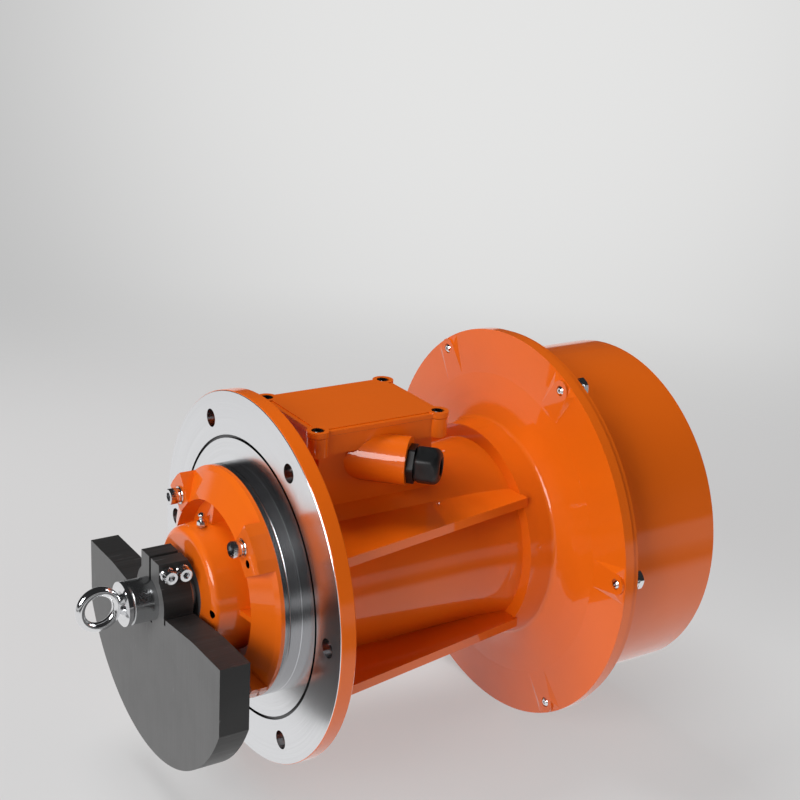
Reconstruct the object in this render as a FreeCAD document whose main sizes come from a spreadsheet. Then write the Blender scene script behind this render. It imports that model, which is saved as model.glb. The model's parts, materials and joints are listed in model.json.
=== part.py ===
"""Flange-mounted vibration motor, modelled piece by piece.

The shaft runs along X, from the bare eccentric weight (-X) to the drum that
covers the rear one (+X). The origin is the centre of the flange's machined
face, which looks along -X. The terminal box is on top (+Z).
"""
import FreeCAD
import Part
import Sketcher
import math
import os

FRONT_BACK = "XZ_Plane"
ACROSS = "YZ_Plane"
LEVEL = "XY_Plane"

SIZES = {
    # Mounting flange with its spigot ring
    "flange_dia": 350.0,
    "flange_thk": 15.4,
    "bolt_circle_dia": 304.0,
    "bolt_hole_dia": 17.5,
    "bolt_count": 6,
    "face_groove_dia": 264.0,
    "face_groove_width": 3.0,
    "face_groove_depth": 2.0,
    "spigot_dia": 217.0,
    "spigot_len": 12.0,
    # Barrel, flared neck and dish
    "barrel_dia": 182.0,
    "barrel_bore": 166.0,
    "barrel_end_x": 220.0,
    "flare_dia": 189.0,
    "flare_end_x": 250.0,
    "flare_round": 300.0,
    "neck_step_dia": 214.0,
    "neck_round": 5.0,
    "neck_dia": 222.0,
    "neck_end_x": 275.0,
    "neck_back_x": 285.0,
    "dish_dia": 397.4,
    "dish_swell_dia": "=dish_dia - 87.4",
    "dish_swell_x": 286.0,
    "dish_root_dia": 250.0,
    "dish_root_x": 281.5,
    "dish_root_round": 80.0,
    "dish_rim_x": 289.4,
    "dish_rim_thk": 10.0,
    "drum_flange_inset": 2.2,
    "drum_flange_dia": "=dish_dia - 2 * drum_flange_inset",
    "cover_bolt_inset": 8.7,
    "cover_bolt_circle": "=drum_flange_dia - 2 * cover_bolt_inset",
    "drum_bolt_room": 16.4,
    "drum_dia": "=cover_bolt_circle - 2 * drum_bolt_room",
    "dish_seat_dia": "=drum_dia + 1.2",
    "rim_bevel": 1.0,
    # Gusset ribs
    "rib_height": 64.0,
    "rib_thk": 9.0,
    "rib_flange_reach": 134.5,
    "rib_neck_reach": 91.5,
    "rib_end_x": 252.0,
    # Terminal box
    "box_front_x": 41.0,
    "box_back_x": 174.0,
    "box_half_width": 52.0,
    "box_floor_z": 131.0,
    "box_rim_z": 149.0,
    "pedestal_inset": 6.0,
    "box_wall": 6.0,
    "cavity_floor_z": 104.0,
    "wire_hole_dia": 22.0,
    "lid_screw_front_x": 43.8,
    "lid_screw_back_x": 171.4,
    "lid_screw_half_width": 48.2,
    "post_dia": 19.0,
    "lid_overhang": 1.6,
    "lid_lug_dia": 20.5,
    "lid_gasket_thk": 0.8,
    "lid_thk": 4.2,
    "lid_panel_rise": 0.9,
    "lid_panel_inset": 4.5,
    "lid_screw_dia": 6.0,
    "lid_head_dia": 12.0,
    "lid_head_recess": 3.4,
    "lid_head_len": 2.6,
    "lid_screw_len": 14.0,
    # Cable entry
    "entry_turn": 45.0,
    "entry_cross_x": 59.2,
    "entry_z": 119.0,
    "entry_reach": 98.0,
    "entry_boss_dia": 45.4,
    "gland_drop": 2.0,
    "gland_thread_dia": 25.0,
    "gland_thread_len": 12.0,
    "gland_flange_flats": 33.0,
    "gland_flange_len": 6.5,
    "gland_barrel_dia": 27.0,
    "gland_barrel_len": 13.0,
    "gland_nut_flats": 32.0,
    "gland_nut_len": 23.0,
    "gland_nut_taper": 7.5,
    "gland_nose_dia": 24.0,
    "cable_bore_dia": 17.0,
    "gland_seal_bore": 14.0,
    "gland_gap": 0.5,
    # Bearings, front and rear alike
    "bearing_bore": 45.0,
    "bearing_dia": 100.0,
    "bearing_width": 36.0,
    "outer_race_dia": 87.0,
    "inner_race_dia": 59.0,
    "roller_count": 12,
    "roller_len": 26.0,
    "roller_gap": 0.3,
    "race_lip_height": 2.0,
    "race_lip_width": 4.0,
    "cage_inner_dia": 67.0,
    "cage_side": 2.5,
    "front_bearing_x": -52.0,
    "rear_bearing_x": 252.0,
    # Front bearing shield
    "hub_front_x": -60.0,
    "hub_dia": 116.0,
    "hub_round": 7.0,
    "hub_foot_dia": 126.0,
    "pocket_floor_x": -20.0,
    "pocket_dia": 158.4,
    "ring_crest_x": -35.0,
    "ring_edge_x": -23.5,
    "ring_edge_dia": 207.0,
    "ring_bevel_x": -20.5,
    "shield_web_back_x": -10.0,
    "register_len": 20.0,
    "register_wall": 8.0,
    "web_thk": 5.0,
    "web_hub_x": -37.0,
    "shield_bolt_circle": 182.0,
    "shield_bolt_count": 4,
    "pad_x": -36.3,
    "pad_low_turn": 37.4,
    "pad_high_turn": 61.4,
    "plain_pad_high_turn": 53.0,
    "jack_hole_dia": 7.5,
    "jack_hole_depth": 12.0,
    "jack_circle": 180.0,
    "jack_turn": 54.5,
    "hub_hole_circle": 105.0,
    # Shaft seals and inner bearing covers
    "seal_dia": 62.0,
    "seal_width": 6.0,
    "seal_land_thk": 2.0,
    "seal_lip_gap": 0.05,
    "inner_cover_dia": 140.0,
    "inner_cover_thk": 8.0,
    "inner_cover_lip": 8.0,
    "inner_cover_gap": 1.5,
    "inner_screw_circle": 113.0,
    "inner_screw_count": 4,
    # Rear bearing shield
    "rear_shield_dia": 212.0,
    "rear_shield_thk": 13.0,
    "rear_register_len": 20.0,
    "rear_web_thk": 10.0,
    "rear_hub_dia": 128.0,
    "rear_bolt_circle": 192.0,
    "rear_bolt_count": 6,
    # Shaft and rotor
    "shaft_front_x": -118.0,
    "shaft_end_dia": 40.0,
    "shaft_end_bevel": 1.5,
    "front_step_x": -64.0,
    "shoulder_dia": 56.0,
    "rotor_seat_dia": 60.0,
    "core_front_x": 60.0,
    "core_len": 130.0,
    "rear_step_x": 300.0,
    "shaft_rear_x": 392.3,
    "rotor_dia": 104.0,
    "air_gap": 0.5,
    "rotor_bar_count": 22,
    "rotor_bar_width": 4.0,
    "rotor_bar_depth": 10.0,
    "end_ring_len": 12.0,
    "stator_slot_count": 24,
    "stator_slot_width": 7.0,
    "stator_slot_depth": 18.0,
    "slot_fit": 0.2,
    "winding_overhang": 26.0,
    "winding_outer_dia": 158.0,
    "winding_inner_dia": 114.0,
    "key_width": 8.0,
    "key_depth": 5.0,
    "key_proud": 3.0,
    "key_len": 24.0,
    # Front eccentric weight
    "weight_x": -95.0,
    "weight_thk": 28.0,
    "weight_dia": 311.0,
    "weight_half_width": 141.0,
    "weight_top_z": -2.0,
    "weight_bend_y": 88.0,
    "weight_dip_z": -7.0,
    "weight_hub_dia": 60.0,
    "ear_half_width": 19.0,
    "ear_top_z": 40.0,
    "clamp_slot": 4.0,
    "relief_width": 3.0,
    "relief_depth": 6.0,
    "clamp_screw_z": 31.0,
    "clamp_screw_pitch": 14.0,
    "clamp_screw_dia": 8.0,
    "clamp_head_dia": 12.6,
    "clamp_head_len": 8.0,
    "clamp_washer_dia": 13.6,
    "clamp_washer_thk": 4.0,
    "clamp_socket_flats": 6.0,
    # Rear eccentric weight
    "rear_weight_x": 352.0,
    "rear_weight_thk": 40.0,
    "running_fit": 0.05,
    "side_gap": 0.3,
    "spacer_dia": 54.0,
    "end_plate_dia": 52.0,
    "end_plate_thk": 6.0,
    # Rear drum
    "cover_gasket_thk": 1.0,
    "drum_wall": 5.0,
    "rear_weight_room": 16.4,
    "rear_weight_dia": "=drum_dia - 2 * (drum_wall + rear_weight_room)",
    "rear_weight_half_width": "=rear_weight_dia / 2 - 16",
    "drum_end_x": 428.4,
    "drum_end_thk": 6.0,
    "drum_flange_thk": 5.6,
    "drum_corner": 3.0,
    "cover_bolt_count": 6,
    "cover_bolt_turn": 26.2,
    "cover_bolt_dia": 10.0,
    "cover_bolt_flats": 17.0,
    "cover_head_len": 6.4,
    "cover_washer_dia": 17.0,
    "cover_washer_thk": 2.2,
    "cover_tip": 0.8,
    "boss_top_x": 286.2,
    "boss_slope": 70.0,
    "boss_slope_len": 3.6,
    "boss_width": 20.4,
    "boss_inner_width": 28.4,
    "boss_inner_r": 152.0,
    # Screws of the shields
    "shield_screw_dia": 10.0,
    "shield_head_dia": 15.0,
    "shield_head_len": 8.0,
    "shield_socket_flats": 8.0,
    "shield_washer_dia": 17.0,
    "shield_washer_thk": 1.6,
    "spring_washer_thk": 2.4,
    "shield_screw_len": 42.0,
    "small_screw_dia": 8.0,
    "small_head_dia": 13.0,
    "small_head_len": 8.0,
    "small_socket_flats": 6.0,
    "small_screw_len": 22.0,
    "socket_share": 0.55,
    # Lifting eye
    "eye_ring_x": -143.8,
    "eye_ring_dia": 34.2,
    "eye_wire_dia": 8.6,
    "eye_collar_dia": 40.6,
    "eye_collar_thk": 3.8,
    "eye_relief": 1.0,
    "eye_neck_dia": 24.0,
    "eye_neck_top_dia": 11.0,
    "eye_thread_dia": 12.0,
    "eye_thread_len": 20.0,
    # Grease nipples
    "nipple_x": -45.0,
    "nipple_seat_z": "=hub_dia / 2 + 2.6",
    "nipple_dia": 8.4,
    "nipple_hex_len": 5.0,
    "nipple_neck_dia": 4.6,
    "nipple_head_dia": 6.6,
    "nipple_len": 13.0,
    "nipple_thread_len": 6.0,
    # Terminal block
    "block_front_x": 78.0,
    "block_len": 74.0,
    "block_width": 40.0,
    "block_thk": 14.0,
    "stud_dia": 5.0,
    "stud_len": 14.0,
    "stud_pitch": 24.0,
    "stud_row": 20.0,
    "stud_nut_dia": 10.0,
    "stud_nut_thk": 4.0,
}

doc = FreeCAD.newDocument("VibrationMotor")
sheet = doc.addObject("Spreadsheet::Sheet", "Sizes")
for row, (alias, value) in enumerate(SIZES.items(), 1):
    sheet.set(f"A{row}", alias)
    sheet.set(f"B{row}", str(value))
    sheet.setAlias(f"B{row}", alias)
doc.recompute()

parts = []


def cell(text):
    """Turn a formula of size names into one that reads them from the sheet."""
    words = []
    word = ""
    for letter in str(text) + " ":
        if letter.isalnum() or letter in "_.":
            word += letter
            continue
        words.append(f"Sizes.{word}" if word in SIZES else word)
        words.append(letter)
        word = ""
    return "".join(words).strip()


def value_of(text):
    """Return the present number of a formula of size names."""
    found = sheet.evalExpression(cell(text))
    return float(getattr(found, "Value", found))


def around(radius, angle):
    """Return the (y, z) formulas of a point at an angle from +Z towards -Y."""
    return f"-({radius}) * sin(({angle}) * 1deg)", f"({radius}) * cos(({angle}) * 1deg)"


def origin_feature(body, role):
    return next(feature for feature in body.Origin.OriginFeatures if feature.Role == role)


def new_body(label):
    body = doc.addObject("PartDesign::Body", label)
    body.Label = label
    body.AllowCompound = True
    parts.append(body)
    return body


def new_sketch(body, name, plane, offset="0"):
    sketch = body.newObject("Sketcher::SketchObject", f"{body.Label}_{name}")
    sketch.AttachmentSupport = [(origin_feature(body, plane), "")]
    sketch.MapMode = "FlatFace"
    sketch.setExpression("AttachmentOffset.Base.z", cell(offset))
    return sketch


def fix_point(sketch, geometry, end, point):
    for kind, formula in zip(("DistanceX", "DistanceY"), point):
        index = sketch.addConstraint(Sketcher.Constraint(kind, -1, 1, geometry, end, value_of(formula)))
        sketch.setExpression(f"Constraints[{index}]", cell(formula))


def outline(sketch, points):
    """Add a closed outline of straight edges, each corner tied to its formulas."""
    first = sketch.GeometryCount
    corners = [FreeCAD.Vector(value_of(u), value_of(v), 0) for u, v in points]
    count = len(points)
    for index in range(count):
        sketch.addGeometry(Part.LineSegment(corners[index], corners[(index + 1) % count]), False)
    for index in range(count):
        follower = first + (index + 1) % count
        sketch.addConstraint(Sketcher.Constraint("Coincident", first + index, 2, follower, 1))
    for index, point in enumerate(points):
        fix_point(sketch, first + index, 1, point)
    return first


def circle(sketch, centre, diameter):
    """Add a circle with its centre and diameter tied to formulas."""
    middle = FreeCAD.Vector(value_of(centre[0]), value_of(centre[1]), 0)
    radius = value_of(diameter) / 2
    index = sketch.addGeometry(Part.Circle(middle, FreeCAD.Vector(0, 0, 1), radius), False)
    datum = sketch.addConstraint(Sketcher.Constraint("Diameter", index, 2 * radius))
    sketch.setExpression(f"Constraints[{datum}]", cell(diameter))
    fix_point(sketch, index, 3, centre)


def hexagon(sketch, centre, flats):
    """Add a regular hexagon of a given width across its flats."""
    corners = []
    for step in range(6):
        reach = f"({flats}) / sqrt(3)"
        turn = 60 * step
        corners.append((
            f"({centre[0]}) + {reach} * cos({turn} * 1deg)",
            f"({centre[1]}) + {reach} * sin({turn} * 1deg)",
        ))
    outline(sketch, corners)


def rectangle(sketch, low, high):
    outline(sketch, [low, (high[0], low[1]), high, (low[0], high[1])])


def revolve(body, name, points):
    """Turn an outline of (x, radius) formulas about X."""
    sketch = new_sketch(body, name, FRONT_BACK)
    outline(sketch, points)
    feature = body.newObject("PartDesign::Revolution", f"{body.Label}_{name}_turned")
    feature.Profile = sketch
    feature.ReferenceAxis = (origin_feature(body, "X_Axis"), [""])
    feature.Angle = 360
    return feature


def pad(body, sketch, length, backwards=False):
    feature = body.newObject("PartDesign::Pad", f"{sketch.Label}_pad")
    feature.Profile = sketch
    feature.setExpression("Length", cell(length))
    feature.Reversed = backwards
    return feature


def pocket(body, sketch, length, forwards=False):
    """Cut a sketch into the body, and stop if nothing was cut."""
    doc.recompute()
    before = body.Shape.Volume
    feature = body.newObject("PartDesign::Pocket", f"{sketch.Label}_cut")
    feature.Profile = sketch
    feature.setExpression("Length", cell(length))
    feature.Reversed = forwards
    doc.recompute()
    if feature.Shape.Volume > before - 1e-3:
        raise RuntimeError(f"{feature.Label} cuts nothing")
    return feature


def ring_of(body, features, count):
    """Repeat features round the shaft."""
    doc.recompute()
    pattern = body.newObject("PartDesign::PolarPattern", f"{features[0].Label}_ring")
    pattern.Originals = features
    pattern.Axis = (origin_feature(body, "X_Axis"), [""])
    pattern.Angle = 360
    pattern.setExpression("Occurrences", cell(count))
    body.Tip = pattern
    doc.recompute()
    return pattern


def round_edge(body, ring_x, ring_dia, radius):
    """Round the circular edge that lies at a place on the shaft."""
    doc.recompute()
    feature = body.Tip
    found = []
    for index, edge in enumerate(feature.Shape.Edges, 1):
        if not isinstance(edge.Curve, Part.Circle):
            continue
        off_plane = abs(edge.Curve.Center.x - value_of(ring_x))
        off_ring = abs(edge.Curve.Radius - value_of(ring_dia) / 2)
        if max(off_plane, off_ring) < 1e-3:
            found.append(f"Edge{index}")
    rounding = body.newObject("PartDesign::Fillet", f"{body.Label}_{radius}")
    rounding.Base = (feature, found)
    rounding.setExpression("Radius", cell(radius))
    doc.recompute()
    return rounding


def bolt_holes(body, name, plane_x, depth, hole_dia, circle_dia, count, first_angle):
    """Cut a ring of holes along +X from a plane across the shaft."""
    sketch = new_sketch(body, name, ACROSS, plane_x)
    circle(sketch, around(f"{circle_dia} / 2", first_angle), hole_dia)
    return ring_of(body, [pocket(body, sketch, depth, forwards=True)], count)


def cap_screws(label, seat_x, circle_dia, first_angle, count, size, length, points_back=False):
    """Make a ring of socket-head screws along X, heads towards -X or +X."""
    body = new_body(label)
    way = "-1" if points_back else "1"
    centre = around(f"{circle_dia} / 2", first_angle)
    head = new_sketch(body, "head", ACROSS, seat_x)
    circle(head, centre, f"{size}_head_dia")
    head_pad = pad(body, head, f"{size}_head_len", backwards=not points_back)
    shank = new_sketch(body, "shank", ACROSS, seat_x)
    circle(shank, centre, f"{size}_screw_dia")
    shank_pad = pad(body, shank, length, backwards=points_back)
    socket = new_sketch(body, "socket", ACROSS, f"{seat_x} - {way} * {size}_head_len")
    hexagon(socket, centre, f"{size}_socket_flats")
    socket_cut = pocket(body, socket, f"{size}_head_len * socket_share", forwards=not points_back)
    ring_of(body, [head_pad, shank_pad, socket_cut], count)
    return body


def make_housing():
    """Casting with flange, ribbed barrel, dish and terminal box."""
    body = new_body("motor_housing")
    revolve(body, "casting", [
        ("-spigot_len", "0"),
        ("-spigot_len", "spigot_dia / 2 - rim_bevel"),
        ("-spigot_len + rim_bevel", "spigot_dia / 2"),
        ("0", "spigot_dia / 2"),
        ("0", "(face_groove_dia - face_groove_width) / 2"),
        ("face_groove_depth", "(face_groove_dia - face_groove_width) / 2"),
        ("face_groove_depth", "(face_groove_dia + face_groove_width) / 2"),
        ("0", "(face_groove_dia + face_groove_width) / 2"),
        ("0", "flange_dia / 2 - rim_bevel"),
        ("rim_bevel", "flange_dia / 2"),
        ("flange_thk - rim_bevel", "flange_dia / 2"),
        ("flange_thk", "flange_dia / 2 - rim_bevel"),
        ("flange_thk", "barrel_dia / 2"),
        ("barrel_end_x", "barrel_dia / 2"),
        ("flare_end_x", "flare_dia / 2"),
        ("flare_end_x", "neck_step_dia / 2"),
        ("neck_end_x", "neck_dia / 2"),
        ("dish_root_x", "dish_root_dia / 2"),
        ("dish_swell_x", "dish_swell_dia / 2"),
        ("dish_rim_x", "dish_dia / 2"),
        ("dish_rim_x + dish_rim_thk", "dish_dia / 2"),
        ("dish_rim_x + dish_rim_thk", "dish_seat_dia / 2"),
        ("neck_back_x", "neck_dia / 2"),
        ("neck_back_x", "0"),
    ])
    round_edge(body, "barrel_end_x", "barrel_dia", "flare_round")
    round_edge(body, "neck_end_x", "neck_dia", "neck_round")
    round_edge(body, "dish_root_x", "dish_root_dia", "dish_root_round")
    for side, height in (("upper", "rib_height"), ("lower", "-rib_height")):
        ribs = new_sketch(body, f"ribs_{side}", LEVEL, f"{height} - rib_thk / 2")
        outline(ribs, [
            ("flange_thk / 2", "rib_flange_reach"),
            ("flange_thk / 2", "-rib_flange_reach"),
            ("rib_end_x", "-rib_neck_reach"),
            ("rib_end_x", "rib_neck_reach"),
        ])
        pad(body, ribs, "rib_thk")
    boss = new_sketch(body, "cover_boss", ACROSS, "boss_top_x")
    corners = []
    for reach, width in (
        ("boss_inner_r", "boss_inner_width / 2"),
        ("cover_bolt_circle / 2", "boss_width / 2"),
        ("cover_bolt_circle / 2", "-boss_width / 2"),
        ("boss_inner_r", "-boss_inner_width / 2"),
    ):
        along = around(reach, "cover_bolt_turn")
        across = around(width, "cover_bolt_turn + 90")
        corners.append((f"{along[0]} + {across[0]}", f"{along[1]} + {across[1]}"))
    outline(boss, corners)
    tip = new_sketch(body, "cover_boss_tip", ACROSS, "boss_top_x")
    circle(tip, around("cover_bolt_circle / 2", "cover_bolt_turn"), "boss_width")
    slope = pad(body, boss, "boss_slope_len")
    slope.setExpression("TaperAngle", cell("boss_slope"))
    post = pad(body, tip, "dish_rim_x + dish_rim_thk / 2 - boss_top_x")
    ring_of(body, [slope, post], "cover_bolt_count")
    pedestal = new_sketch(body, "pedestal", LEVEL, "0")
    rectangle(
        pedestal,
        ("box_front_x + pedestal_inset", "-box_half_width + pedestal_inset"),
        ("box_back_x - pedestal_inset", "box_half_width - pedestal_inset"),
    )
    pad(body, pedestal, "box_floor_z + 1")
    box = new_sketch(body, "box", LEVEL, "box_floor_z")
    rectangle(box, ("box_front_x", "-box_half_width"), ("box_back_x", "box_half_width"))
    pad(body, box, "box_rim_z - box_floor_z")
    for side in ("lid_screw_front_x", "lid_screw_back_x"):
        posts = new_sketch(body, f"posts_{side[10:15].strip('_')}", LEVEL, "box_floor_z")
        for half in ("-lid_screw_half_width", "lid_screw_half_width"):
            circle(posts, (side, half), "post_dia")
        pad(body, posts, "box_rim_z - box_floor_z")
    entry = new_sketch(body, "entry_boss", FRONT_BACK, "0")
    entry.setExpression("AttachmentOffset.Base.x", cell("entry_cross_x"))
    entry.setExpression("AttachmentOffset.Base.y", cell("entry_z"))
    entry.setExpression("AttachmentOffset.Rotation.Pitch", cell("entry_turn"))
    circle(entry, ("0", "0"), "entry_boss_dia")
    pad(body, entry, "entry_reach")
    bore = new_sketch(body, "bore", ACROSS, "-spigot_len - 1")
    circle(bore, ("0", "0"), "barrel_bore")
    pocket(body, bore, "neck_back_x + spigot_len + 2", forwards=True)
    cavity = new_sketch(body, "cavity", LEVEL, "box_rim_z")
    rectangle(
        cavity,
        ("box_front_x + pedestal_inset + box_wall", "-box_half_width + pedestal_inset + box_wall"),
        ("box_back_x - pedestal_inset - box_wall", "box_half_width - pedestal_inset - box_wall"),
    )
    pocket(body, cavity, "box_rim_z - cavity_floor_z")
    wires = new_sketch(body, "wire_hole", LEVEL, "cavity_floor_z")
    circle(wires, ("box_front_x + pedestal_inset + box_wall + wire_hole_dia / 2 + 2", "0"), "wire_hole_dia")
    pocket(body, wires, "cavity_floor_z - barrel_bore / 2 + 20")
    thread = new_sketch(body, "entry_bore", FRONT_BACK, "0")
    thread.setExpression("AttachmentOffset.Base.x", cell("entry_cross_x"))
    thread.setExpression("AttachmentOffset.Base.y", cell("entry_z - gland_drop"))
    thread.setExpression("AttachmentOffset.Rotation.Pitch", cell("entry_turn"))
    circle(thread, ("0", "0"), "gland_thread_dia")
    pocket(body, thread, "entry_reach + 1", forwards=True)
    for side in ("front", "back"):
        taps = new_sketch(body, f"lid_taps_{side}", LEVEL, "box_rim_z")
        for half in ("-lid_screw_half_width", "lid_screw_half_width"):
            circle(taps, (f"lid_screw_{side}_x", half), "lid_screw_dia")
        pocket(body, taps, "lid_screw_len")
    bolt_holes(body, "flange_holes", "-1", "flange_thk + 2", "bolt_hole_dia", "bolt_circle_dia", "bolt_count", "30")
    bolt_holes(body, "shield_taps", "-spigot_len", "shield_screw_len - 10", "shield_screw_dia",
               "shield_bolt_circle", "shield_bolt_count", "45")
    bolt_holes(body, "rear_taps", "neck_back_x - 22", "23", "small_screw_dia",
               "rear_bolt_circle", "rear_bolt_count", "30")
    bolt_holes(body, "cover_holes", "boss_top_x - 1", "dish_rim_x + dish_rim_thk - boss_top_x + 2",
               "cover_bolt_dia", "cover_bolt_circle", "cover_bolt_count", "cover_bolt_turn")


def make_front_shield():
    """Front cover: raised hub, ring-shaped pocket with thin webs, and bolted rim."""
    body = new_body("front_bearing_shield")
    revolve(body, "cover", [
        ("hub_front_x", "seal_dia / 2"),
        ("hub_front_x", "hub_dia / 2"),
        ("pocket_floor_x", "hub_foot_dia / 2"),
        ("pocket_floor_x", "pocket_dia / 2 - 2"),
        ("ring_crest_x", "pocket_dia / 2"),
        ("ring_edge_x", "ring_edge_dia / 2"),
        ("ring_bevel_x", "spigot_dia / 2"),
        ("-spigot_len", "spigot_dia / 2"),
        ("-spigot_len", "barrel_bore / 2"),
        ("-spigot_len + register_len", "barrel_bore / 2"),
        ("-spigot_len + register_len", "barrel_bore / 2 - register_wall"),
        ("shield_web_back_x", "barrel_bore / 2 - register_wall"),
        ("shield_web_back_x", "bearing_dia / 2"),
        ("front_bearing_x", "bearing_dia / 2"),
        ("front_bearing_x", "bearing_bore / 2 + 2.5"),
        ("front_bearing_x - seal_land_thk", "bearing_bore / 2 + 2.5"),
        ("front_bearing_x - seal_land_thk", "seal_dia / 2"),
    ])
    round_edge(body, "hub_front_x", "hub_dia", "hub_round")
    web = new_sketch(body, "web", FRONT_BACK, "-web_thk / 2")
    outline(web, [
        ("pocket_floor_x + 2", "hub_dia / 2 - 3"),
        ("pocket_floor_x + 2", "pocket_dia / 2 + 1"),
        ("ring_crest_x + 0.6", "pocket_dia / 2 + 1"),
        ("web_hub_x", "hub_dia / 2 - 3"),
    ])
    ring_of(body, [pad(body, web, "web_thk")], "4")
    for name, side, high_turn in (("near", "1", "pad_high_turn"), ("far", "-1", "plain_pad_high_turn")):
        shoulder = new_sketch(body, f"{name}_pad", ACROSS, "pad_x")
        corners = []
        for reach, turn in (
            ("pocket_dia / 2", "pad_low_turn"),
            ("spigot_dia / 2", "pad_low_turn"),
            ("spigot_dia / 2 / cos(5 * 1deg)", f"0.75 * pad_low_turn + 0.25 * {high_turn}"),
            ("spigot_dia / 2 / cos(5 * 1deg)", f"0.25 * pad_low_turn + 0.75 * {high_turn}"),
            ("spigot_dia / 2", high_turn),
            ("pocket_dia / 2", high_turn),
        ):
            corners.append(around(reach, f"{side} * ({turn})"))
        outline(shoulder, corners)
        ring_of(body, [pad(body, shoulder, "ring_bevel_x - pad_x + 2")], "2")
    bolt_holes(body, "screw_holes", "pad_x - 1", "-pad_x + 1", "shield_screw_dia",
               "shield_bolt_circle", "shield_bolt_count", "45")
    bolt_holes(body, "jack_holes", "pad_x", "jack_hole_depth", "jack_hole_dia", "jack_circle", "2", "jack_turn")
    bolt_holes(body, "hub_holes", "hub_front_x", "6", "jack_hole_dia", "hub_hole_circle", "2", "90")
    bolt_holes(body, "inner_taps", "shield_web_back_x - 14", "15", "small_screw_dia",
               "inner_screw_circle", "inner_screw_count", "45")
    nipple = new_sketch(body, "nipple_tap", LEVEL, "nipple_seat_z")
    circle(nipple, ("nipple_x", "0"), "nipple_neck_dia + 1")
    pocket(body, nipple, "nipple_thread_len")


def make_rear_shield():
    """Rear bearing cover, inside the drum, with its register in the barrel."""
    body = new_body("rear_bearing_shield")
    revolve(body, "cover", [
        ("neck_back_x + rear_shield_thk", "seal_dia / 2"),
        ("neck_back_x + rear_shield_thk", "rear_hub_dia / 2"),
        ("neck_back_x + rear_web_thk", "rear_hub_dia / 2 + 3"),
        ("neck_back_x + rear_web_thk", "rear_shield_dia / 2"),
        ("neck_back_x", "rear_shield_dia / 2"),
        ("neck_back_x", "barrel_bore / 2"),
        ("neck_back_x - rear_register_len", "barrel_bore / 2"),
        ("neck_back_x - rear_register_len", "barrel_bore / 2 - register_wall"),
        ("neck_back_x - 3", "barrel_bore / 2 - register_wall"),
        ("neck_back_x - 3", "rear_hub_dia / 2 + 5"),
        ("rear_bearing_x - 6", "rear_hub_dia / 2 + 1"),
        ("rear_bearing_x - 6", "bearing_dia / 2"),
        ("rear_bearing_x + bearing_width", "bearing_dia / 2"),
        ("rear_bearing_x + bearing_width", "bearing_bore / 2 + 2.5"),
        ("rear_bearing_x + bearing_width + seal_land_thk", "bearing_bore / 2 + 2.5"),
        ("rear_bearing_x + bearing_width + seal_land_thk", "seal_dia / 2"),
    ])
    bolt_holes(body, "screw_holes", "neck_back_x - 1", "rear_shield_thk + 2", "small_screw_dia",
               "rear_bolt_circle", "rear_bolt_count", "30")
    bolt_holes(body, "inner_taps", "rear_bearing_x - 7", "15", "small_screw_dia",
               "inner_screw_circle", "inner_screw_count", "45")


def make_bearing(place, start):
    """Roller bearing of two rings, rollers and the cage that spaces them."""
    end = f"{start} + bearing_width"
    lip = "outer_race_dia / 2 - race_lip_height"
    outer = new_body(f"{place}_bearing_outer_ring")
    revolve(outer, "ring", [
        (start, lip),
        (start, "bearing_dia / 2"),
        (end, "bearing_dia / 2"),
        (end, lip),
        (f"{end} - race_lip_width", lip),
        (f"{end} - race_lip_width", "outer_race_dia / 2"),
        (f"{start} + race_lip_width", "outer_race_dia / 2"),
        (f"{start} + race_lip_width", lip),
    ])
    inner = new_body(f"{place}_bearing_inner_ring")
    revolve(inner, "ring", [
        (start, "bearing_bore / 2"),
        (start, "inner_race_dia / 2"),
        (end, "inner_race_dia / 2"),
        (end, "bearing_bore / 2"),
    ])
    pitch = "(outer_race_dia + inner_race_dia) / 4"
    roller_dia = "(outer_race_dia - inner_race_dia) / 2 - 2 * roller_gap"
    rollers = new_body(f"{place}_bearing_rollers")
    sketch = new_sketch(rollers, "roller", ACROSS, f"{start} + (bearing_width - roller_len) / 2")
    circle(sketch, ("0", pitch), roller_dia)
    ring_of(rollers, [pad(rollers, sketch, "roller_len")], "roller_count")
    cage = new_body(f"{place}_bearing_cage")
    margin = "(bearing_width - roller_len) / 2 - roller_gap"
    revolve(cage, "ring", [
        (f"{start} + {margin} - cage_side", "cage_inner_dia / 2"),
        (f"{start} + {margin} - cage_side", f"{lip} - running_fit"),
        (f"{end} - ({margin}) + cage_side", f"{lip} - running_fit"),
        (f"{end} - ({margin}) + cage_side", "cage_inner_dia / 2"),
    ])
    window = new_sketch(cage, "window", ACROSS, f"{start} + {margin}")
    circle(window, ("0", pitch), f"{roller_dia} + 2 * roller_gap")
    cut = pocket(cage, window, "roller_len + 2 * roller_gap", forwards=True)
    ring_of(cage, [cut], "roller_count")


def make_seal(place, low, high):
    seal = new_body(f"{place}_shaft_seal")
    lip = "bearing_bore / 2 + seal_lip_gap"
    revolve(seal, "ring", [
        (low, lip),
        (low, "seal_dia / 2"),
        (high, "seal_dia / 2"),
        (high, f"{lip} + 5"),
        (f"({low} + {high}) / 2", f"{lip} + 4"),
        (f"({low} + {high}) / 2", lip),
    ])


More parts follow.
